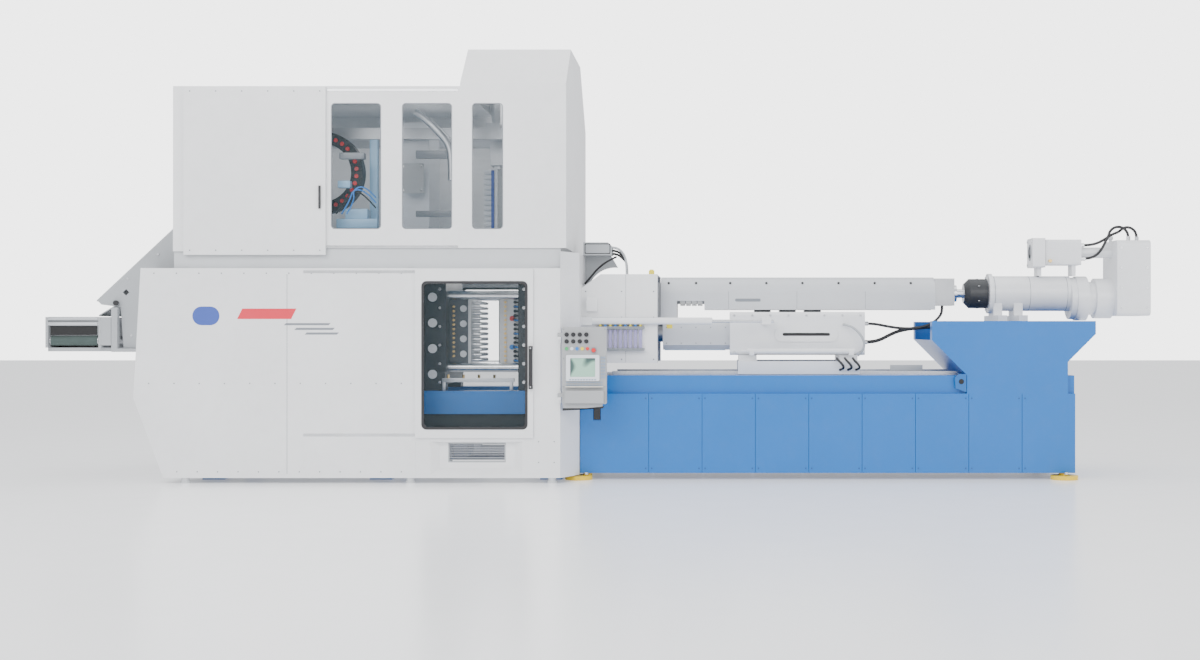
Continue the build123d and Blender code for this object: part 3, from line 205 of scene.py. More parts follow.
finishes = {
    "white_sheet": painted("white powder coat", (0.88, 0.885, 0.895), 0.34),
    "grey_metal": painted("grey powder coat", (0.42, 0.44, 0.46), 0.42),
    "frame_grey": painted("pale frame coat", (0.60, 0.62, 0.64), 0.4),
    "bright_steel": machined("ground steel", (0.74, 0.75, 0.77), 0.24),
    "clear_pane": clear("clear safety pane", (0.10, 0.14, 0.16), 0.10),
    "black_plastic": moulded("black moulding", (0.022, 0.022, 0.025)),
    "machine_blue": painted("machine blue", (0.0, 0.15, 0.50), 0.32, 0.2, 0.2, 0.03),
    "black_casting": casting("black casting", (0.028, 0.03, 0.034)),
    "mould_steel": machined("tool steel", (0.50, 0.51, 0.53), 0.34, (20.0, 20.0, 20.0)),
    "robot_white": painted("take-off white", (0.80, 0.83, 0.87), 0.36),
    "robot_blue": painted("floor blue-grey", (0.36, 0.46, 0.58), 0.45),
    "aluminium_bar": machined("anodised aluminium", (0.66, 0.68, 0.71), 0.38),
    "foot_yellow": painted("foot yellow", (0.88, 0.60, 0.02), 0.38),
    "white_casting": painted("white enamel", (0.84, 0.85, 0.87), 0.28, 0.3, 0.4),
    "grey_cover": painted("pale grey cover", (0.60, 0.62, 0.65), 0.36),
    "panel_grey": painted("panel grey", (0.40, 0.41, 0.42), 0.42),
    "stop_red": moulded("stop red", (0.72, 0.02, 0.02), 0.25, 0.05, 0.5),
    "belt_rubber": moulded("belt rubber", (0.05, 0.075, 0.07), 0.7, 0.4, 0.0, 260.0),
    "hose_rubber": moulded("hose rubber", (0.016, 0.016, 0.018), 0.38, 0.2),
}
slot_of = {entry["node"]: entry["material_slot"] for entry in frame["record"]["subparts"]}
for name, node in frame["nodes"].items():
    material = finishes[slot_of[name]]
    if not node.material_slots:
        node.data.materials.append(material)
    for holder in node.material_slots:
        holder.material = material
dark_steel = machined("blackened tool steel", (0.10, 0.105, 0.115), 0.36, (20.0, 20.0, 20.0))
for holder in frame["nodes"]["core_block"].material_slots:
    holder.material = dark_steel

finishes.update({
    # near black for real black parts, also used for sheets and discs that stand for painted shade
    "pitch_black": moulded("shadow black", (0.010, 0.010, 0.011), 0.6),
    "fitting_brass": machined("brass fitting", (0.78, 0.55, 0.22), 0.26),
    "heater_white": painted("heater band", (0.88, 0.88, 0.86), 0.4),
    "water_blue": moulded("blue water fitting", (0.02, 0.20, 0.62), 0.35),
    "water_red": moulded("red water fitting", (0.70, 0.03, 0.03), 0.35),
    "robot_sky": painted("take-off pale blue", (0.32, 0.55, 0.78), 0.35),
    "tag_yellow": painted("tag yellow", (0.90, 0.74, 0.03), 0.4),
    "violet_clear": clear("violet manifold", (0.45, 0.42, 0.72), 0.62, 0.12),
    "key_blue": moulded("blue-grey keys", (0.30, 0.38, 0.50), 0.45),
    "key_beige": moulded("beige shelf", (0.62, 0.60, 0.54), 0.5),
    "key_green": moulded("green key", (0.05, 0.45, 0.14), 0.35),
    "screen_green": lit("panel screen", (0.30, 0.52, 0.40, 1.0), 0.35, (0.05, 0.10, 0.09, 1.0)),
    "mark_red": painted("red mark", (0.78, 0.03, 0.06), 0.3),
    "mark_navy": painted("navy mark", (0.05, 0.10, 0.42), 0.3),
    "mark_grey": painted("grey mark", (0.22, 0.24, 0.27), 0.35),
    "seam_blue": painted("deep blue seam", (0.0, 0.06, 0.22), 0.45),
    # machine blue at 0.8 of its brightness: a shaded copy, painted shade for the tub bracket
    "shaded_machine_blue": painted("machine blue in painted shade", (0.0, 0.12, 0.40), 0.34),
})

# ---- camera, floor and light -------------------------------------------------------
eye = bpy.data.cameras.new("camera")
eye.lens, eye.sensor_width, eye.shift_x = 46.875, 36.0, -0.1
camera = bpy.data.objects.new("camera", eye)
camera.location = (1.145, -16.15, 1.474)
camera.rotation_euler = (math.radians(90), 0, 0)
bpy.context.scene.collection.objects.link(camera)
bpy.context.scene.camera = camera


def flat_sheet(name, half_x, half_y, z):
    mesh = bpy.data.meshes.new(name)
    mesh.from_pydata([(-half_x, -half_y, z), (half_x, -half_y, z), (half_x, half_y, z),
                      (-half_x, half_y, z)], [], [(0, 1, 2, 3)])
    made = bpy.data.objects.new(name, mesh)
    bpy.context.scene.collection.objects.link(made)
    return made


floor = flat_sheet("studio_floor", 60, 60, -0.001)
pale = Finish("pale floor", Emission_Color=(1.0, 1.0, 1.0, 1.0), Emission_Strength=0.32)
pale.drive("Base Color", pale.blend(pale.noise(0.4), (0.90, 0.91, 0.92, 1), (0.93, 0.93, 0.94, 1)))
pale.drive("Roughness", pale.noise(3.0) * 0.04 + 0.2)
floor.data.materials.append(pale.material)

world = bpy.data.worlds.new("studio")
world.use_nodes = True
sky = world.node_tree
sky.nodes["Background"].inputs[0].default_value = (0.96, 0.975, 1.0, 1.0)
sky.nodes["Background"].inputs[1].default_value = 1.15
backdrop = sky.nodes.new("ShaderNodeBackground")
backdrop.inputs[0].default_value, backdrop.inputs[1].default_value = (1.0, 1.0, 1.0, 1.0), 4.0
chosen, seen = sky.nodes.new("ShaderNodeMixShader"), sky.nodes.new("ShaderNodeLightPath")
sky.links.new(seen.outputs["Is Camera Ray"], chosen.inputs[0])
sky.links.new(sky.nodes["Background"].outputs[0], chosen.inputs[1])
sky.links.new(backdrop.outputs[0], chosen.inputs[2])
sky.links.new(chosen.outputs[0], sky.nodes["World Output"].inputs[0])
bpy.context.scene.world = world


def soft_light(name, place, aim, size, power):
    lamp = bpy.data.lights.new(name, "AREA")
    lamp.shape, lamp.size, lamp.size_y, lamp.energy = "RECTANGLE", size[0], size[1], power
    made = bpy.data.objects.new(name, lamp)
    made.location = place
    made.rotation_euler = (Vector(aim) - Vector(place)).to_track_quat("-Z", "Y").to_euler()
    bpy.context.scene.collection.objects.link(made)


soft_light("key", (-5, -11, 8), (0, 0, 1.5), (9, 6), 900)
soft_light("fill", (8, -10, 5), (2, 0, 1.5), (7, 5), 420)
soft_light("top", (0, 0, 10), (0, 0, 0), (14, 8), 500)
soft_light("mould", (-1.2, 0.5, 2.03), (-1.2, 0.3, 1.2), (0.7, 0.5), 9)
soft_light("upper", (-2.2, 0.2, 3.78), (-2.2, 0, 2.6), (2.8, 1.2), 20)

# ---- hoses -------------------------------------------------------------------------
motor_right = 4.842
guard_box_high = 2.388
loop_r, loop_z = 0.1, guard_box_high + 0.046


def hose_loop(middle_x, y, drift):
    points = []
    for step in range(7):
        angle = math.radians(180 - 30 * step)
        points.append((middle_x + loop_r * math.cos(angle), y + drift * step,
                       loop_z + loop_r * math.sin(angle)))
    points.append((middle_x + loop_r, y + drift * 6, guard_box_high))
    return points


housing_right = 2.616
hoses = {
    "motor_hose_a": (0.014, 0.740, [
        (motor_right, -0.080, 2.345), (4.925, -0.080, 2.345), (5.020, -0.080, 2.363),
        (5.100, -0.081, 2.405), (5.165, -0.082, 2.452)] + hose_loop(5.336, -0.082, 0.004)[1:]),
    "motor_hose_b": (0.014, 0.749, [
        (motor_right, -0.135, 2.205), (4.915, -0.135, 2.205), (4.995, -0.135, 2.232),
        (5.050, -0.134, 2.290), (5.088, -0.132, 2.362)] + hose_loop(5.226, -0.131, -0.003)),
    "supply_hose_a": (0.014, 0.956, [
        (housing_right, -0.150, 1.540), (2.720, -0.150, 1.540), (2.860, -0.160, 1.510),
        (3.000, -0.170, 1.490), (3.140, -0.166, 1.490), (3.260, -0.146, 1.515),
        (3.352, -0.112, 1.562), (3.414, -0.078, 1.625), (3.430, -0.068, 1.675),
        (3.430, -0.068, 1.725)]),
    "supply_hose_b": (0.018, 1.356, [
        (housing_right, -0.060, 1.350), (2.706, -0.060, 1.350), (2.800, -0.058, 1.375),
        (2.884, -0.056, 1.420), (2.972, -0.052, 1.460), (3.080, -0.048, 1.484),
        (3.230, -0.044, 1.500), (3.400, -0.042, 1.510), (3.580, -0.042, 1.524),
        (3.760, -0.044, 1.536), (3.850, -0.044, 1.540), (3.937, -0.044, 1.540)]),
}


def smooth_line(name, points, radius):
    curve = bpy.data.curves.new(name, "CURVE")
    curve.dimensions = "3D"
    line = curve.splines.new("NURBS")
    line.points.add(len(points) - 1)
    for held, place in zip(line.points, points):
        held.co = (*place, 1.0)
    line.order_u = 3
    line.use_endpoint_u = True
    curve.bevel_depth, curve.bevel_resolution, curve.resolution_u = radius, 4, 8
    curve.use_fill_caps = True
    made = bpy.data.objects.new(name, curve)
    bpy.context.scene.collection.objects.link(made)
    return made


for name, (radius, length, route) in hoses.items():
    hose = smooth_line("line_" + name, route, radius)
    hose.data.materials.append(finishes["hose_rubber"])
    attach(hose, "carriage")
    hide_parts(name)
    2 * radius


# ---- making pieces -----------------------------------------------------------------
class Shape:
    """A piece built from several plain solids, bevelled and smoothed together."""

    def __init__(self, name, body, slot, finish=None):
        self.name, self.body, self.slot = name, body, slot
        self.finish = finishes[finish or slot]
        self.mesh = bmesh.new()

    def box(self, x0, x1, y0, y1, z0, z1, bevel=0.0):
        made = bmesh.ops.create_cube(self.mesh, size=1.0)["verts"]
        for corner in made:
            corner.co = Vector(((x0 + x1) / 2 + corner.co.x * (x1 - x0),
                                (y0 + y1) / 2 + corner.co.y * (y1 - y0),
                                (z0 + z1) / 2 + corner.co.z * (z1 - z0)))
        if bevel:
            edges = list({edge for corner in made for edge in corner.link_edges})
            bmesh.ops.bevel(self.mesh, geom=edges, offset=bevel, segments=2, affect="EDGES",
                            profile=0.6)
        return self

    def rod(self, start, end, radius, far=None, sides=28):
        start, end = Vector(start), Vector(end)
        turn = (end - start).to_track_quat("Z", "Y").to_matrix().to_4x4()
        place = Matrix.Translation((start + end) / 2) @ turn
        bmesh.ops.create_cone(self.mesh, cap_ends=True, segments=sides, radius1=radius,
                              radius2=radius if far is None else far,
                              depth=(end - start).length, matrix=place)
        return self

    def slab(self, outline, y0, y1):
        """A flat outline of (x, z) points, as thick as y0 to y1."""
        near = [self.mesh.verts.new((x, y0, z)) for x, z in outline]
        far = [self.mesh.verts.new((x, y1, z)) for x, z in outline]
        self.mesh.faces.new(near)
        self.mesh.faces.new(list(reversed(far)))
        for here in range(len(near)):
            after = (here + 1) % len(near)
            self.mesh.faces.new((near[here], far[here], far[after], near[after]))
        return self

    def done(self):
        bmesh.ops.recalc_face_normals(self.mesh, faces=self.mesh.faces)
        mesh = bpy.data.meshes.new(self.name)
        self.mesh.to_mesh(mesh)
        self.mesh.free()
        for face in mesh.polygons:
            face.use_smooth = True
        mesh.set_sharp_from_angle(angle=math.radians(35))
        mesh.materials.append(self.finish)
        made = bpy.data.objects.new(self.name, mesh)
        bpy.context.scene.collection.objects.link(made)
        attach(made, self.body)
        return made


def rounded(x0, x1, z0, z1, radius, steps=5):
    """Points of a rectangle in x and z with round corners."""
    points = []
    for cx, cz, first in ((x1 - radius, z1 - radius, 0), (x0 + radius, z1 - radius, 90),
                          (x0 + radius, z0 + radius, 180), (x1 - radius, z0 + radius, 270)):
        for step in range(steps + 1):
            angle = math.radians(first + 90 * step / steps)
            points.append((cx + radius * math.cos(angle), cz + radius * math.sin(angle)))
    return points


def ring(shape, outer, inner, y0, y1):
    """A flat frame between two outlines with as many points."""
    verts = [[shape.mesh.verts.new((x, y, z)) for x, z in loop]
             for loop, y in ((outer, y0), (outer, y1), (inner, y1), (inner, y0))]
    count = len(outer)
    for k in range(4):
        here, there = verts[k], verts[(k + 1) % 4]
        for i in range(count):
            j = (i + 1) % count
            shape.mesh.faces.new((here[i], here[j], there[j], there[i]))
    return shape


def pipe(name, points, radius, body, slot, finish=None):
    """A fixed line that bends smoothly through its points."""
    made = smooth_line(name, points, radius)
    mesh = bpy.data.meshes.new_from_object(made.evaluated_get(
        bpy.context.evaluated_depsgraph_get()))
    bpy.data.objects.remove(made)
    mesh.name = name
    piece = bpy.data.objects.new(name, mesh)
    bpy.context.scene.collection.objects.link(piece)
    mesh.materials.clear()
    mesh.materials.append(finishes[finish or slot])
    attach(piece, body)
    return piece


# ---- repeated pieces ---------------------------------------------------------------
def repeat_tree(kind):
    """Puts a small stud or slat on each point of a piece."""
    tree = bpy.data.node_groups.new("repeat " + kind, "GeometryNodeTree")
    face = tree.interface
    face.new_socket("Geometry", in_out="INPUT", socket_type="NodeSocketGeometry")
    sockets = (("Radius", "NodeSocketFloat"), ("Depth", "NodeSocketFloat"),
               ("Sides", "NodeSocketInt")) if kind == "stud" else (("Size", "NodeSocketVector"),)
    for label, form in sockets + (("Turn", "NodeSocketVector"),
                                  ("Finish", "NodeSocketMaterial")):
        face.new_socket(label, in_out="INPUT", socket_type=form)
    face.new_socket("Geometry", in_out="OUTPUT", socket_type="NodeSocketGeometry")
    nodes, links = tree.nodes, tree.links
    inside, outside = nodes.new("NodeGroupInput"), nodes.new("NodeGroupOutput")
    put = nodes.new("GeometryNodeInstanceOnPoints")
    real = nodes.new("GeometryNodeRealizeInstances")
    colour = nodes.new("GeometryNodeSetMaterial")
    links.new(inside.outputs["Geometry"], put.inputs["Points"])
    if kind == "stud":
        unit = nodes.new("GeometryNodeMeshCylinder")
        links.new(inside.outputs["Sides"], unit.inputs["Vertices"])
        links.new(inside.outputs["Radius"], unit.inputs["Radius"])
        links.new(inside.outputs["Depth"], unit.inputs["Depth"])
    else:
        unit = nodes.new("GeometryNodeMeshCube")
        links.new(inside.outputs["Size"], unit.inputs["Size"])
    links.new(unit.outputs["Mesh"], put.inputs["Instance"])
    links.new(inside.outputs["Turn"], put.inputs["Rotation"])
    links.new(put.outputs["Instances"], real.inputs["Geometry"])
    links.new(real.outputs["Geometry"], colour.inputs["Geometry"])
    links.new(inside.outputs["Finish"], colour.inputs["Material"])
    links.new(colour.outputs["Geometry"], outside.inputs["Geometry"])
    return tree


trees = {kind: repeat_tree(kind) for kind in ("stud", "slat")}
facing_front = (math.radians(90), 0.0, 0.0)
facing_side = (0.0, math.radians(90), 0.0)
upright = (0.0, 0.0, 0.0)


def repeated(name, kind, places, body, slot, finish=None, **sizes):
    points = bpy.data.meshes.new(name + "_points")
    points.from_pydata(places, [], [])
    holder = bpy.data.objects.new(name + "_points", points)
    bpy.context.scene.collection.objects.link(holder)
    rule = holder.modifiers.new("repeat", "NODES")
    rule.node_group = trees[kind]
    sizes["Finish"] = finishes[finish or slot]
    for item in trees[kind].interface.items_tree:
        if item.in_out == "INPUT" and item.name in sizes:
            rule[item.identifier] = sizes[item.name]
    bpy.context.view_layer.update()
    mesh = bpy.data.meshes.new_from_object(holder.evaluated_get(
        bpy.context.evaluated_depsgraph_get()))
    holder.modifiers.remove(rule)
    bpy.data.objects.remove(holder)
    mesh.name = name
    piece = bpy.data.objects.new(name, mesh)
    bpy.context.scene.collection.objects.link(piece)
    if not mesh.materials:
        mesh.materials.append(sizes["Finish"])
    for face in mesh.polygons:
        face.use_smooth = True
    mesh.set_sharp_from_angle(angle=math.radians(35))
    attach(piece, body)
    return piece


def studs(name, places, radius, depth, body, slot, finish=None, turn=facing_front, sides=10):
    return repeated(name, "stud", places, body, slot, finish, Radius=radius, Depth=depth,
                    Sides=sides, Turn=turn)


def slats(name, places, size, body, slot, finish=None, turn=upright):
    return repeated(name, "slat", places, body, slot, finish, Size=size, Turn=turn)


def spread(low, high, count):
    return [low + (high - low) * k / (count - 1) for k in range(count)]


# ---- guard doors and panels --------------------------------------------------------
def door_gasket(name, body, y0, y1):
    low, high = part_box(body + "_glass")
    margin, lip = 0.012, 0.026
    outer = rounded(low[0] + margin - lip, high[0] - margin + lip, low[2] + margin - lip,
                    high[2] - margin + lip, 0.05)
    inner = rounded(low[0] + margin, high[0] - margin, low[2] + margin, high[2] - margin, 0.04)
    gasket = Shape(name, body, "black_plastic")
    ring(gasket, outer, inner, y0, y1).done()


front_face, rear_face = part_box("front_door")[0][1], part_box("rear_door")[1][1]
door_gasket("front_door_gasket", "front_door", front_face - 0.003, front_face + 0.008)
door_gasket("rear_door_gasket", "rear_door", rear_face - 0.008, rear_face + 0.003)

side_y = 1.120  # outer faces of the lower guard
panel_screws = []
for z, ends in ((0.110, (-4.08, -1.92, 12)), (0.960, (-4.35, -1.92, 11)),
                (2.020, (-4.30, -1.92, 12))):
    panel_screws += [(x, -side_y - 0.001, z) for x in spread(*ends)]
panel_screws += [(x, -side_y - 0.001, z) for x in (-0.60, -0.45) for z in (0.20, 0.40)]
studs("panel_screws", panel_screws, 0.006, 0.004, "machine", "white_sheet", "mark_grey")
studs("rear_panel_screws", [(x, -y, z) for x, y, z in panel_screws], 0.006, 0.004, "machine",
      "white_sheet", "mark_grey")
slats("panel_seams", [(-3.02, -side_y - 0.0004, 1.05), (-3.02, side_y + 0.0004, 1.05)],
      (0.004, 0.0016, 1.92), "machine", "white_sheet", "mark_grey")

marks = Shape("navy_mark", "machine", "white_sheet", "mark_navy")
marks.slab(rounded(-3.93, -3.67, 1.52, 1.70, 0.088, 8), -side_y - 0.002, -side_y).done()
marks = Shape("red_mark", "machine", "white_sheet", "mark_red")
marks.slab([(-3.50, 1.58), (-2.98, 1.58), (-2.93, 1.68), (-3.45, 1.68)],
           -side_y - 0.002, -side_y).done()
marks = Shape("grey_mark", "machine", "white_sheet", "mark_grey")
for step in range(3):
    low_z = 1.52 - 0.045 * step
    marks.slab([(-3.05 + 0.1 * step, low_z), (-2.62 + 0.04 * step, low_z),
                (-2.60 + 0.04 * step, low_z + 0.02), (-3.03 + 0.1 * step, low_z + 0.02)],
               -side_y - 0.002, -side_y)
marks.done()

handle_low, handle_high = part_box("front_door_handle")
studs("handle_screws", [(sum((handle_low[0], handle_high[0])) / 2, handle_low[1] - 0.001, z)
                        for z in (handle_low[2] + 0.02, handle_high[2] - 0.02)],
      0.007, 0.004, "front_door", "black_plastic", "bright_steel")

for low, high in ((-2.602, -2.120), (-1.918, -1.436), (-1.244, -0.945)):
    gasket = Shape(f"pane_gasket_{round(-low * 1000)}", "machine", "black_plastic", "mark_grey")
    ring(gasket, rounded(low - 0.001, high + 0.001, 2.446, 3.661, 0.038),
         rounded(low + 0.007, high - 0.007, 2.454, 3.653, 0.031), -1.1012, -1.094).done()
cover_low, cover_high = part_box("front_sliding_cover")
studs("cover_screws", [(x, cover_low[1] - 0.001, z) for x in spread(-3.95, -2.70, 6)
                       for z in (2.24, 3.77)],
      0.006, 0.004, "upper_cover", "white_sheet", "mark_grey")
slats("cover_handle", [(-2.70, cover_low[1] - 0.012, 2.75)], (0.018, 0.022, 0.22),
      "upper_cover", "black_plastic")

# ---- mould and clamp ---------------------------------------------------------------
core_low, core_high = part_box("core_block")
half_low, half_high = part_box("cavity_block")
platen_low, platen_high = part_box("moving_platen")
mould_front = core_low[1]
water_rows = spread(core_low[2] + 0.035, core_high[2] - 0.035, 14)
core_mid = (core_low[0] + core_high[0]) / 2
studs("core_fittings", [(core_mid - 0.05, mould_front - 0.014, z) for z in water_rows[1:-1]],
      0.012, 0.03, "platen", "mould_steel", "fitting_brass", sides=12)
studs("core_discs", [(core_mid + 0.045, mould_front - 0.004, z) for z in
                     spread(core_low[2] + 0.10, core_high[2] - 0.10, 4)],
      0.034, 0.01, "platen", "mould_steel", "robot_white", sides=24)
studs("cavity_fittings", [(x, mould_front - 0.016, z) for z in water_rows
                          for x in (half_low[0] + 0.07, half_high[0] - 0.06)],
      0.013, 0.034, "machine", "mould_steel", "fitting_brass", sides=12)
studs("cavity_hose_nuts", [(half_high[0] - 0.06, mould_front - 0.045, z) for z in water_rows],
      0.017, 0.03, "machine", "mould_steel", "pitch_black", sides=6)
for row, z in enumerate(water_rows):
    x = half_high[0] - 0.06
    pipe(f"water_line_{row}", [(x, mould_front - 0.06, z), (x + 0.01, mould_front - 0.11, z),
                               (x + 0.09, mould_front - 0.14, z - 0.01),
                               (x + 0.20, mould_front - 0.09, z - 0.015),
                               (x + 0.24, mould_front - 0.02, z - 0.02)],
         0.009, "machine", "hose_rubber", "pitch_black" if row % 3 else "water_blue")
for name, z, colour in (("red_fitting", half_high[2] - 0.20, "water_red"),
                        ("blue_fitting", half_low[2] + 0.17, "water_blue")):
    fitting = Shape(name, "machine", "stop_red", colour)
    x = half_low[0] + 0.14
    fitting.rod((x, mould_front - 0.05, z), (x, mould_front, z), 0.026)
    fitting.rod((x, mould_front - 0.09, z), (x, mould_front - 0.05, z), 0.018).done()
studs("platen_discs", [((platen_low[0] + platen_high[0]) / 2 + 0.02, platen_low[1] - 0.004, z)
                       for z in spread(platen_low[2] + 0.16, platen_high[2] - 0.16, 4)],
      0.045, 0.01, "platen", "black_casting", "robot_white", sides=28)
studs("platen_bolts", [(x, platen_low[1] - 0.006, z)
                       for x in (platen_low[0] + 0.05, platen_high[0] - 0.05)
                       for z in spread(platen_low[2] + 0.08, platen_high[2] - 0.08, 6)],
      0.016, 0.014, "platen", "bright_steel", sides=6)
fixed_low, fixed_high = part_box("fixed_platen")
studs("fixed_platen_bolts", [(x, fixed_low[1] - 0.006, z)
                             for x in (fixed_low[0] + 0.06, fixed_high[0] - 0.06)
                             for z in spread(fixed_low[2] + 0.08, fixed_high[2] - 0.08, 6)],
      0.018, 0.014, "machine", "bright_steel", sides=6)
ejector = Shape("ejector_bar", "machine", "aluminium_bar")
ejector.box(-1.62, -0.90, -0.62, -0.58, 0.955, 0.995, 0.004)
for x in (-1.60, -0.93):
    ejector.box(x - 0.015, x + 0.015, -0.62, -0.58, 0.873, 0.955, 0.002)
ejector.done()
for x in spread(-1.56, -1.10, 4):
    valve = Shape(f"bar_valve_{round(-x * 100)}", "machine", "mould_steel", "fitting_brass")
    valve.rod((x, -0.60, 0.995), (x, -0.60, 1.03), 0.014, sides=6).done()

# ---- take-off ----------------------------------------------------------------------
middle_x, middle_z = -2.793, 3.031  # centre of the energy chain's bend
link_wide, link_inner_r, link_outer_r, pin_r = math.radians(2.1), 0.296, 0.400, 0.348
chain_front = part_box("energy_chain")[0][1]
links = Shape("chain_links", "machine", "black_plastic")
rims = []
for step in range(31):
    angle = math.radians(-90 + 180 * step / 30)
    outline = [(middle_x + radius * math.cos(angle + side * link_wide),
                middle_z + radius * math.sin(angle + side * link_wide))
               for radius, side in ((link_inner_r, -1), (link_outer_r, -0.8),
                                    (link_outer_r, 0.8), (link_inner_r, 1))]
    links.slab(outline, chain_front - 0.010, chain_front)
    rims.append((middle_x + pin_r * math.cos(angle), chain_front - 0.012,
                 middle_z + pin_r * math.sin(angle)))
links.done()
studs("chain_pins", rims[::2], 0.021, 0.010, "machine", "stop_red", sides=12)
# Black sheets that stand for painted shade: one beneath the clamp bed, one over the dark
# clamp-column area to its left
dark_sheet = Shape("clamp_area_painted_shade", "machine", "black_plastic", "pitch_black")
dark_sheet.box(-1.80, -0.60, -0.70, -0.66, 0.46, 0.644, 0.004)
dark_sheet.box(-2.40, -1.90, -0.70, -0.66, 0.874, 1.96, 0.004).done()
pipe("gusset_edge", [(0.10, -0.336, 2.215), (0.02, -0.336, 2.18), (-0.09, -0.336, 2.10),
                     (-0.17, -0.336, 2.00), (-0.225, -0.336, 1.94)],
     0.010, "machine", "black_plastic", "pitch_black")
arm = Shape("panel_arm_cover", "panel", "black_plastic")
arm.slab([(-0.365, 0.722), (0.02, 0.722), (0.035, 0.742), (-0.365, 0.700)], -1.168, -1.104)
arm.done()
gear = Shape("chain_bracket", "machine", "robot_blue", "robot_sky")
gear.box(-2.60, -2.20, -0.90, -0.80, 2.47, 2.56, 0.006)
gear.box(-2.52, -2.30, -0.88, -0.72, 2.56, 2.66, 0.01)
gear.box(-2.58, -2.46, -0.93, -0.84, 2.86, 2.93, 0.006)
gear.box(-2.36, -2.28, -0.52, -0.44, 2.29, 3.38, 0.006)
gear.done()
slide_box = Shape("upper_valves", "machine", "aluminium_bar", "mark_grey")
slide_box.box(-2.56, -2.32, -0.95, -0.86, 3.14, 3.20, 0.005)
slide_box.box(-1.88, -1.46, -0.62, -0.56, 2.60, 2.66, 0.004)
slide_box.box(-1.88, -1.46, -0.62, -0.56, 3.18, 3.26, 0.004)
slide_box.done()
pipe("air_duct", [(-1.86, -0.76, 3.62), (-1.78, -0.76, 3.58), (-1.62, -0.75, 3.42),
                  (-1.52, -0.74, 3.30), (-1.50, -0.74, 3.10), (-1.50, -0.74, 2.95)],
     0.038, "machine", "aluminium_bar")
for shift in (0.0, 0.05, 0.1):
    pipe(f"air_line_{round(shift * 100)}",
         [(-2.58 + shift, -0.98, 2.60), (-2.50 + shift, -0.99, 2.72), (-2.42, -0.98, 2.84),
          (-2.30, -0.97, 2.78 + shift), (-2.20, -0.96, 2.66 + shift)],
         0.007, "machine", "hose_rubber", "water_blue" if shift else "pitch_black")
plate_low, plate_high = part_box("takeoff_plate")
slats("takeoff_strip", [(plate_low[0] + 0.10, plate_low[1] - 0.008, 2.795)],
      (0.03, 0.014, 0.60), "takeoff", "robot_blue", "mark_navy")
studs("takeoff_screws", [(plate_high[0] + 0.001, y, z) for y in (-0.25, 0, 0.25)
                         for z in spread(2.52, 3.07, 6)],
      0.009, 0.006, "takeoff", "bright_steel", turn=facing_side)
move_low, move_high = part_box("transfer_unit")
slats("transfer_joint", [((move_low[0] + move_high[0]) / 2, move_low[1] - 0.002, 3.0)],
      (move_high[0] - move_low[0] - 0.06, 0.006, 0.30), "transfer", "robot_white", "grey_metal")
studs("transfer_screws", [(x, move_low[1] - 0.006, z) for x in (-2.04, -1.86)
                          for z in (2.88, 3.12)], 0.009, 0.006, "transfer", "bright_steel")

# ---- injection side ----------------------------------------------------------------
screw_z = 1.85  # height of the screw's axis
band_x = (0.735, 0.795, 0.855, 0.915)
coupling_r = 0.1515
flange_bolt_r = 0.190
guard_low, guard_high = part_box("nozzle_guard")
face = guard_low[1]
cap = Shape("oil_cap", "machine", "foot_yellow", "tag_yellow")
cap.rod((guard_high[0] - 0.06, face + 0.10, guard_high[2]),
        (guard_high[0] - 0.06, face + 0.10, guard_high[2] + 0.035), 0.028)
cap.rod((guard_high[0] - 0.06, face + 0.10, guard_high[2] + 0.035),
        (guard_high[0] - 0.06, face + 0.10, guard_high[2] + 0.05), 0.028, 0.016).done()
manifold = Shape("flow_tubes", "machine", "clear_pane", "violet_clear")
for x in spread(-0.05, 0.35, 9):
    manifold.rod((x, face - 0.035, 1.285), (x, face - 0.035, 1.475), 0.017, sides=14)
manifold.done()
frame_bars = Shape("flow_tube_rails", "machine", "grey_metal", "mark_grey")
for z in (1.265, 1.48):
    frame_bars.box(-0.09, 0.39, face - 0.06, face, z, z + 0.03, 0.004)
frame_bars.done()
studs("flow_yellow_fittings", [(x, face - 0.035, 1.52) for x in spread(-0.05, 0.35, 9)[::2]],
      0.013, 0.025, "machine", "foot_yellow", "tag_yellow", upright, 12)
studs("flow_blue_fittings", [(x, face - 0.035, 1.52) for x in spread(-0.05, 0.35, 9)[1::2]],
      0.013, 0.025, "machine", "stop_red", "water_blue", upright, 12)
small_box = Shape("guard_switch", "machine", "white_sheet")
small_box.box(-0.19, -0.08, face - 0.05, face, 1.66, 1.80, 0.006).done()
studs("nozzle_guard_screws", [(x, face - 0.001, z) for x in (-0.20, 0.16, 0.48)
                              for z in (1.18, 1.60, 1.86)],
      0.007, 0.004, "machine", "white_sheet", "mark_grey")
guard_seams = Shape("nozzle_guard_seams", "machine", "white_sheet", "mark_grey")
guard_seams.box(0.20, 0.203, face - 0.0012, face, 1.15, 2.03)
guard_seams.box(-0.235, 0.515, face - 0.0012, face, 1.598, 1.601).done()

for k, (y, drop) in enumerate(((-0.30, 0.0), (-0.26, 0.03), (-0.22, 0.06))):
    pipe(f"box_line_{k}", [(0.049, y, 2.31 - drop), (0.10, y, 2.31 - drop),
                           (0.17, y - 0.01, 2.25 - drop), (0.20, y - 0.01, 2.15),
                           (0.20, y - 0.01, 2.033)],
         0.012, "machine", "hose_rubber", "hose_rubber" if k else "grey_metal")
edge = Shape("box_door_edge", "machine", "grey_metal", "pitch_black")
ring(edge, rounded(-0.225, 0.035, 2.245, 2.350, 0.01), rounded(-0.217, 0.027, 2.253, 2.342, 0.008),
     -0.332, -0.328).done()

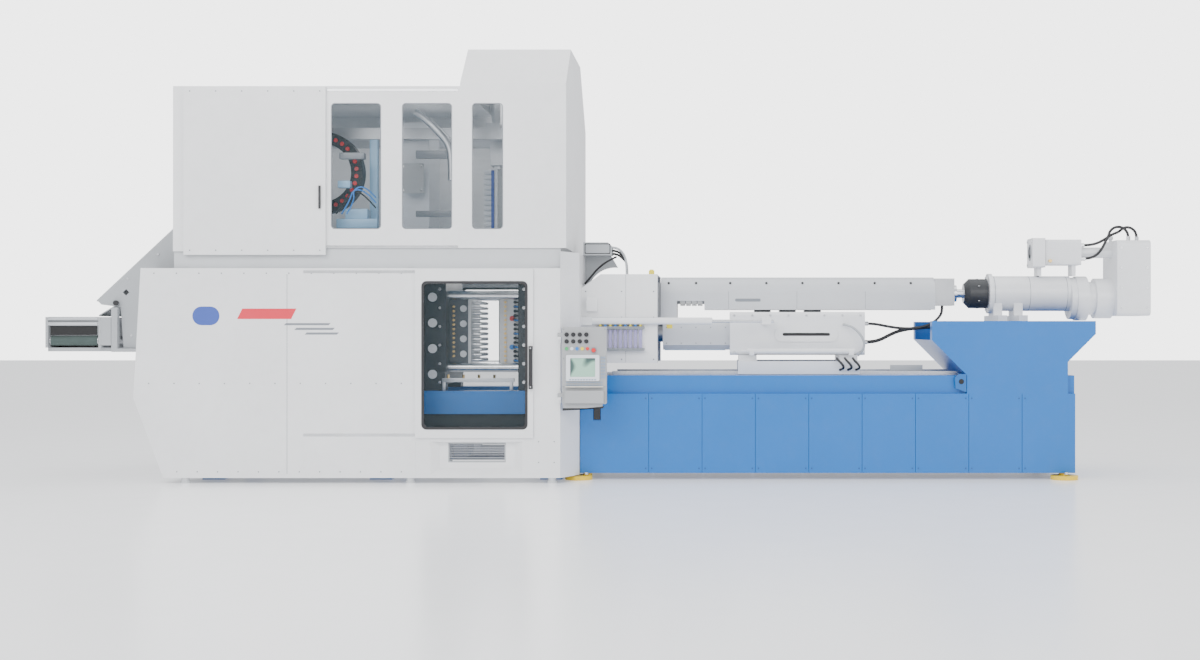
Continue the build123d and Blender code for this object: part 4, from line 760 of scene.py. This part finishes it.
bands = Shape("heater_bands", "carriage", "grey_cover", "heater_white")
for x in band_x:
    bands.rod((x, 0, screw_z), (x + 0.05, 0, screw_z), 0.128, sides=40)
bands.done()
clamps = Shape("band_clamps", "carriage", "bright_steel")
for x in band_x:
    clamps.box(x + 0.008, x + 0.042, -0.142, -0.122, 1.80, 1.825, 0.002)
clamps.done()
cover_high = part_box("barrel_covers")[1]
arc_r = cover_high[2] - screw_z
knob_angle = math.radians(52)
knob_y, knob_z = -arc_r * math.sin(knob_angle), screw_z + arc_r * math.cos(knob_angle)
studs("cover_knobs", [(x, knob_y - 0.003, knob_z + 0.002) for x in
                      (0.62, 0.90, 1.25, 1.62, 1.99, 2.36, 2.73, 3.10)],
      0.012, 0.012, "carriage", "black_plastic", turn=(knob_angle, 0, 0), sides=14)
seams = Shape("barrel_cover_seams", "carriage", "grey_cover", "mark_grey")
for x in (1.23, 1.93, 2.63):
    seams.box(x, x + 0.003, -0.1682, -0.150, 1.69, 1.87)
seams.done()
strip = Shape("cover_strip", "carriage", "grey_cover", "mark_grey")
strip.slab(rounded(1.30, 1.56, 1.765, 1.795, 0.012), -0.1695, -0.158).done()
low_cover = Shape("shot_cover_skirt", "carriage", "robot_blue", "robot_sky")
low_cover.box(0.58, 1.20, -0.18, 0.18, 1.266, 1.272, 0.001).done()
label = Shape("yellow_tag", "carriage", "foot_yellow", "tag_yellow")
label.box(0.60, 0.66, -0.2315, -0.229, 1.49, 1.53).done()
studs("shot_cover_screws", [(x, -0.231, z) for x in spread(0.60, 1.20, 5) for z in (1.34, 1.50)],
      0.006, 0.004, "carriage", "white_casting", "mark_grey")

house_y = -0.300  # front face of the housing
plate = Shape("housing_plate", "carriage", "white_casting")
plate.slab(rounded(1.70, 2.34, 1.355, 1.505, 0.074, 8), house_y - 0.014, house_y).done()
window = Shape("housing_slot", "carriage", "black_plastic", "pitch_black")
window.slab(rounded(1.78, 2.26, 1.415, 1.445, 0.014, 5), house_y - 0.0165, house_y - 0.013).done()
studs("housing_screws", [(x, house_y - 0.003, z) for x in spread(1.29, 2.57, 8)
                         for z in (1.255, 1.622)],
      0.011, 0.010, "carriage", "bright_steel", sides=12)
low_line = Shape("rail_cylinder", "carriage", "white_casting")
low_line.rod((1.42, -0.42, 1.262), (2.50, -0.42, 1.262), 0.026)
low_line.rod((1.36, -0.42, 1.262), (1.42, -0.42, 1.262), 0.014)
for x in (1.44, 2.44):
    low_line.box(x, x + 0.05, -0.455, -0.30, 1.221, 1.262, 0.003)
low_line.done()
valves = Shape("valve_blocks", "carriage", "grey_metal")
for x in (1.50, 1.76, 2.02):
    valves.box(x, x + 0.17, 0.02, 0.24, 1.6575, 1.735, 0.008)
    valves.rod((x + 0.05, 0.02, 1.70), (x + 0.05, -0.06, 1.70), 0.026)
valves.done()
pipe("housing_line", [(2.40, house_y - 0.002, 1.53), (2.40, house_y - 0.06, 1.53),
                      (2.50, house_y - 0.09, 1.50), (2.60, house_y - 0.09, 1.38),
                      (2.60, house_y - 0.06, 1.27), (2.54, house_y - 0.03, 1.215)],
     0.012, "carriage", "grey_metal")
for k, x in enumerate((2.32, 2.40, 2.48)):
    pipe(f"deck_line_{k}", [(x, -0.455, 1.19), (x, -0.50, 1.18), (x + 0.05, -0.53, 1.13),
                            (x + 0.07, -0.52, 1.09), (x + 0.03, -0.46, 1.075)],
         0.012, "carriage", "hose_rubber")

coupling = Shape("coupling_shell", "screw", "black_casting")
coupling.rod((3.658, 0, screw_z), (3.712, 0, screw_z), 0.098, coupling_r, 48)
coupling.rod((3.712, 0, screw_z), (3.896, 0, screw_z), coupling_r, sides=48).done()
studs("coupling_bolts", [(3.80, coupling_r * math.sin(math.radians(a)),
                          screw_z + coupling_r * math.cos(math.radians(a)))
                         for a in range(0, 360, 60)],
      0.012, 0.006, "screw", "bright_steel", turn=upright, sides=8)
throat = Shape("throat_clamp", "carriage", "bright_steel")
throat.rod((3.551, 0, screw_z), (3.585, 0, screw_z), 0.085, sides=40)
throat.done()
for x in (3.96, 4.32, 4.70):
    band = Shape(f"drive_seam_{round(x * 100)}", "carriage", "white_casting", "mark_grey")
    band.rod((x, 0, screw_z), (x + 0.004, 0, screw_z), 0.1812, sides=56).done()
studs("drive_flange_bolts", [(3.9045, flange_bolt_r * math.sin(math.radians(a)),
                              screw_z + flange_bolt_r * math.cos(math.radians(a)))
                             for a in range(0, 360, 30)],
      0.010, 0.012, "carriage", "bright_steel", turn=facing_side, sides=6)

motor_y, motor_z = -0.040, 2.270  # axis of the drive motor
studs("motor_end_bolts", [(4.339, motor_y + y, motor_z - 0.005 + z)
                          for y in (-0.12, 0.12) for z in (-0.12, 0.12)],
      0.013, 0.014, "carriage", "bright_steel", turn=facing_side, sides=6)
fan = Shape("motor_fan_grille", "carriage", "grey_metal", "mark_grey")
for radius in (0.035, 0.06, 0.085):
    fan.rod((4.3375, motor_y, motor_z), (4.3405, motor_y, motor_z), radius, sides=40)
fan.done()
ribs = [(4.66, motor_y - 0.127, motor_z + z) for z in spread(-0.10, 0.10, 8)]
slats("motor_ribs", ribs + [(x, y + 0.254, z) for x, y, z in ribs], (0.33, 0.006, 0.010),
      "carriage", "white_casting")
plug = Shape("motor_plug", "carriage", "bright_steel", "fitting_brass")
plug.rod((4.52, motor_y - 0.125, motor_z - 0.09), (4.52, motor_y - 0.155, motor_z - 0.09),
         0.018, sides=6).done()
collars = Shape("hose_collars", "carriage", "bright_steel")
for start, along in (((motor_right, -0.080, 2.345), (1, 0, 0)),
                     ((motor_right, -0.135, 2.205), (1, 0, 0)),
                     ((5.436, -0.058, guard_box_high), (0, 0, 1)),
                     ((5.326, -0.149, guard_box_high), (0, 0, 1)),
                     ((housing_right, -0.150, 1.540), (1, 0, 0)),
                     ((housing_right, -0.060, 1.350), (1, 0, 0))):
    end = tuple(a + 0.045 * b for a, b in zip(start, along))
    collars.rod(start, end, 0.021, sides=6)
collars.done()
belt_low, belt_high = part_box("belt_guard")
studs("belt_guard_bolts", [(x, belt_low[1] - 0.002, z) for x in (belt_low[0] + 0.04,
                                                                 belt_high[0] - 0.04)
                           for z in spread(belt_low[2] + 0.08, belt_high[2] - 0.08, 4)],
      0.012, 0.010, "carriage", "bright_steel", sides=6)
eye = Shape("lifting_eye", "carriage", "bright_steel")
eye.rod((5.22, 0.16, belt_high[2]), (5.22, 0.16, belt_high[2] + 0.03), 0.016)
eye.rod((5.195, 0.16, belt_high[2] + 0.045), (5.245, 0.16, belt_high[2] + 0.045), 0.018).done()

bed_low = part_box("bed_covers")[0]
seam_x = [0.442 + 0.526 * k for k in range(8)]
slats("bed_screws", [(x + side * 0.03, bed_low[1] - 0.001, z) for x in seam_x
                     for side in (-1, 1) for z in (0.11, 0.80)],
      (0.012, 0.004, 0.012), "machine", "machine_blue", "seam_blue")
# The bracket takes the shaded copy of machine blue: painted shade, matching the dark recessed band
# of the bed
bracket = Shape("tub_bracket", "machine", "machine_blue", "shaded_machine_blue")
bracket.slab([(3.47, 0.90), (3.575, 0.86), (3.575, 1.04), (3.50, 1.04), (3.46, 1.00)],
             -0.745, -0.717)
bracket.done()
# A black disc on the bracket face: painted shade standing for the inside of a hole
hole = Shape("bracket_hole_painted_shade", "machine", "black_plastic", "pitch_black")
hole.rod((3.525, -0.7465, 0.965), (3.525, -0.744, 0.965), 0.026).done()
tray = Shape("hose_tray", "machine", "grey_metal")
tray.box(2.87, 3.20, -0.30, 0.10, 1.0245, 1.045, 0.004)
tray.box(2.87, 3.20, -0.30, -0.292, 1.045, 1.12, 0.002).done()
foot_bolts = [(x, -0.80, 0.066) for x in (-0.165, 4.545)]
studs("foot_nuts", foot_bolts + [(x, -y, z) for x, y, z in foot_bolts], 0.020, 0.02, "machine",
      "bright_steel", turn=upright, sides=6)

# ---- operator panel ----------------------------------------------------------------
front = -1.170  # front face of the panel
knobs = Shape("selector_knobs", "panel", "black_plastic")
for x in (-0.325, -0.262, -0.199, -0.136):
    for z in (1.43, 1.365):
        knobs.rod((x, front, z), (x, front - 0.012, z), 0.021)
        knobs.rod((x, front - 0.012, z), (x, front - 0.030, z), 0.014)
knobs.done()
for name, x, colour in (("green_key", -0.325, "key_green"), ("white_key", -0.275, "robot_white"),
                        ("blue_key", -0.225, "water_blue"), ("yellow_key", -0.175, "tag_yellow"),
                        ("red_key", -0.125, "stop_red")):
    key = Shape(name, "panel", "stop_red", colour)
    key.rod((x, front, 1.295), (x, front - 0.014, 1.295), 0.016).done()
base = Shape("stop_base", "panel", "panel_grey", "mark_grey")
base.rod((-0.065, front, 1.28), (-0.065, front - 0.004, 1.28), 0.028).done()
screen_frame = Shape("screen_frame", "panel", "panel_grey", "robot_white")
ring(screen_frame, rounded(-0.330, -0.010, 0.985, 1.235, 0.015),
     rounded(-0.290, -0.050, 1.025, 1.205, 0.008), front - 0.022, front).done()
screen = Shape("screen", "panel", "black_plastic", "screen_green")
screen.slab(rounded(-0.292, -0.048, 1.023, 1.207, 0.006), front - 0.008, front).done()
slats("screen_keys", [(x, front - 0.024, 0.998) for x in spread(-0.29, -0.05, 10)],
      (0.018, 0.006, 0.010), "panel", "panel_grey", "key_blue")
slats("side_keys", [(x, front - 0.003, z) for x in (0.012, 0.036)
                    for z in spread(1.02, 1.21, 7)],
      (0.018, 0.008, 0.018), "panel", "panel_grey", "key_blue")
console_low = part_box("operator_panel")[0]
shelf = Shape("panel_shelf", "panel", "panel_grey", "key_beige")
shelf.box(-0.335, 0.025, console_low[1] + 0.006, front, 0.925, 0.937, 0.004).done()
slats("key_field", [(x, front - 0.004, z) for x in spread(-0.32, 0.01, 14)
                    for z in spread(0.945, 0.972, 2)],
      (0.017, 0.010, 0.010), "panel", "black_plastic", "key_blue")
studs("panel_screws_front", [(x, front - 0.001, z) for x in (-0.355, 0.042)
                             for z in (0.93, 1.20, 1.48)],
      0.005, 0.004, "panel", "panel_grey", "mark_grey")

# ---- discharge ---------------------------------------------------------------------
belt_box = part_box("conveyor_frame")
side = belt_box[0][1]
bars = Shape("conveyor_light_bars", "machine", "aluminium_bar")
for z in (1.523, 1.575):
    bars.box(-5.455, -4.975, side - 0.003, side, z, z + 0.022, 0.001)
bars.done()
dark_sheet = Shape("conveyor_skirt", "machine", "grey_metal", "pitch_black")
dark_sheet.box(-5.44, -4.98, side + 0.015, side + 0.020, 1.425, 1.515).done()
studs("conveyor_screws", [(x, side - 0.002, z) for x in (-5.471, -4.949)
                          for z in (1.33, 1.46, 1.58)],
      0.008, 0.006, "machine", "bright_steel")
chute_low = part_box("discharge_chute")[0]
studs("chute_bolts", [(x, chute_low[1] - 0.003, z) for x, z in
                      ((-4.70, 1.98), (-4.56, 2.08), (-4.40, 2.22), (-4.66, 1.42), (-4.52, 1.42))],
      0.013, 0.008, "machine", "bright_steel", sides=6)
knob = Shape("chute_knob", "machine", "black_plastic")
knob.rod((-4.80, chute_low[1], 1.74), (-4.80, chute_low[1] - 0.03, 1.74), 0.010)
knob.rod((-4.80, chute_low[1] - 0.03, 1.74), (-4.80, chute_low[1] - 0.055, 1.74), 0.026).done()
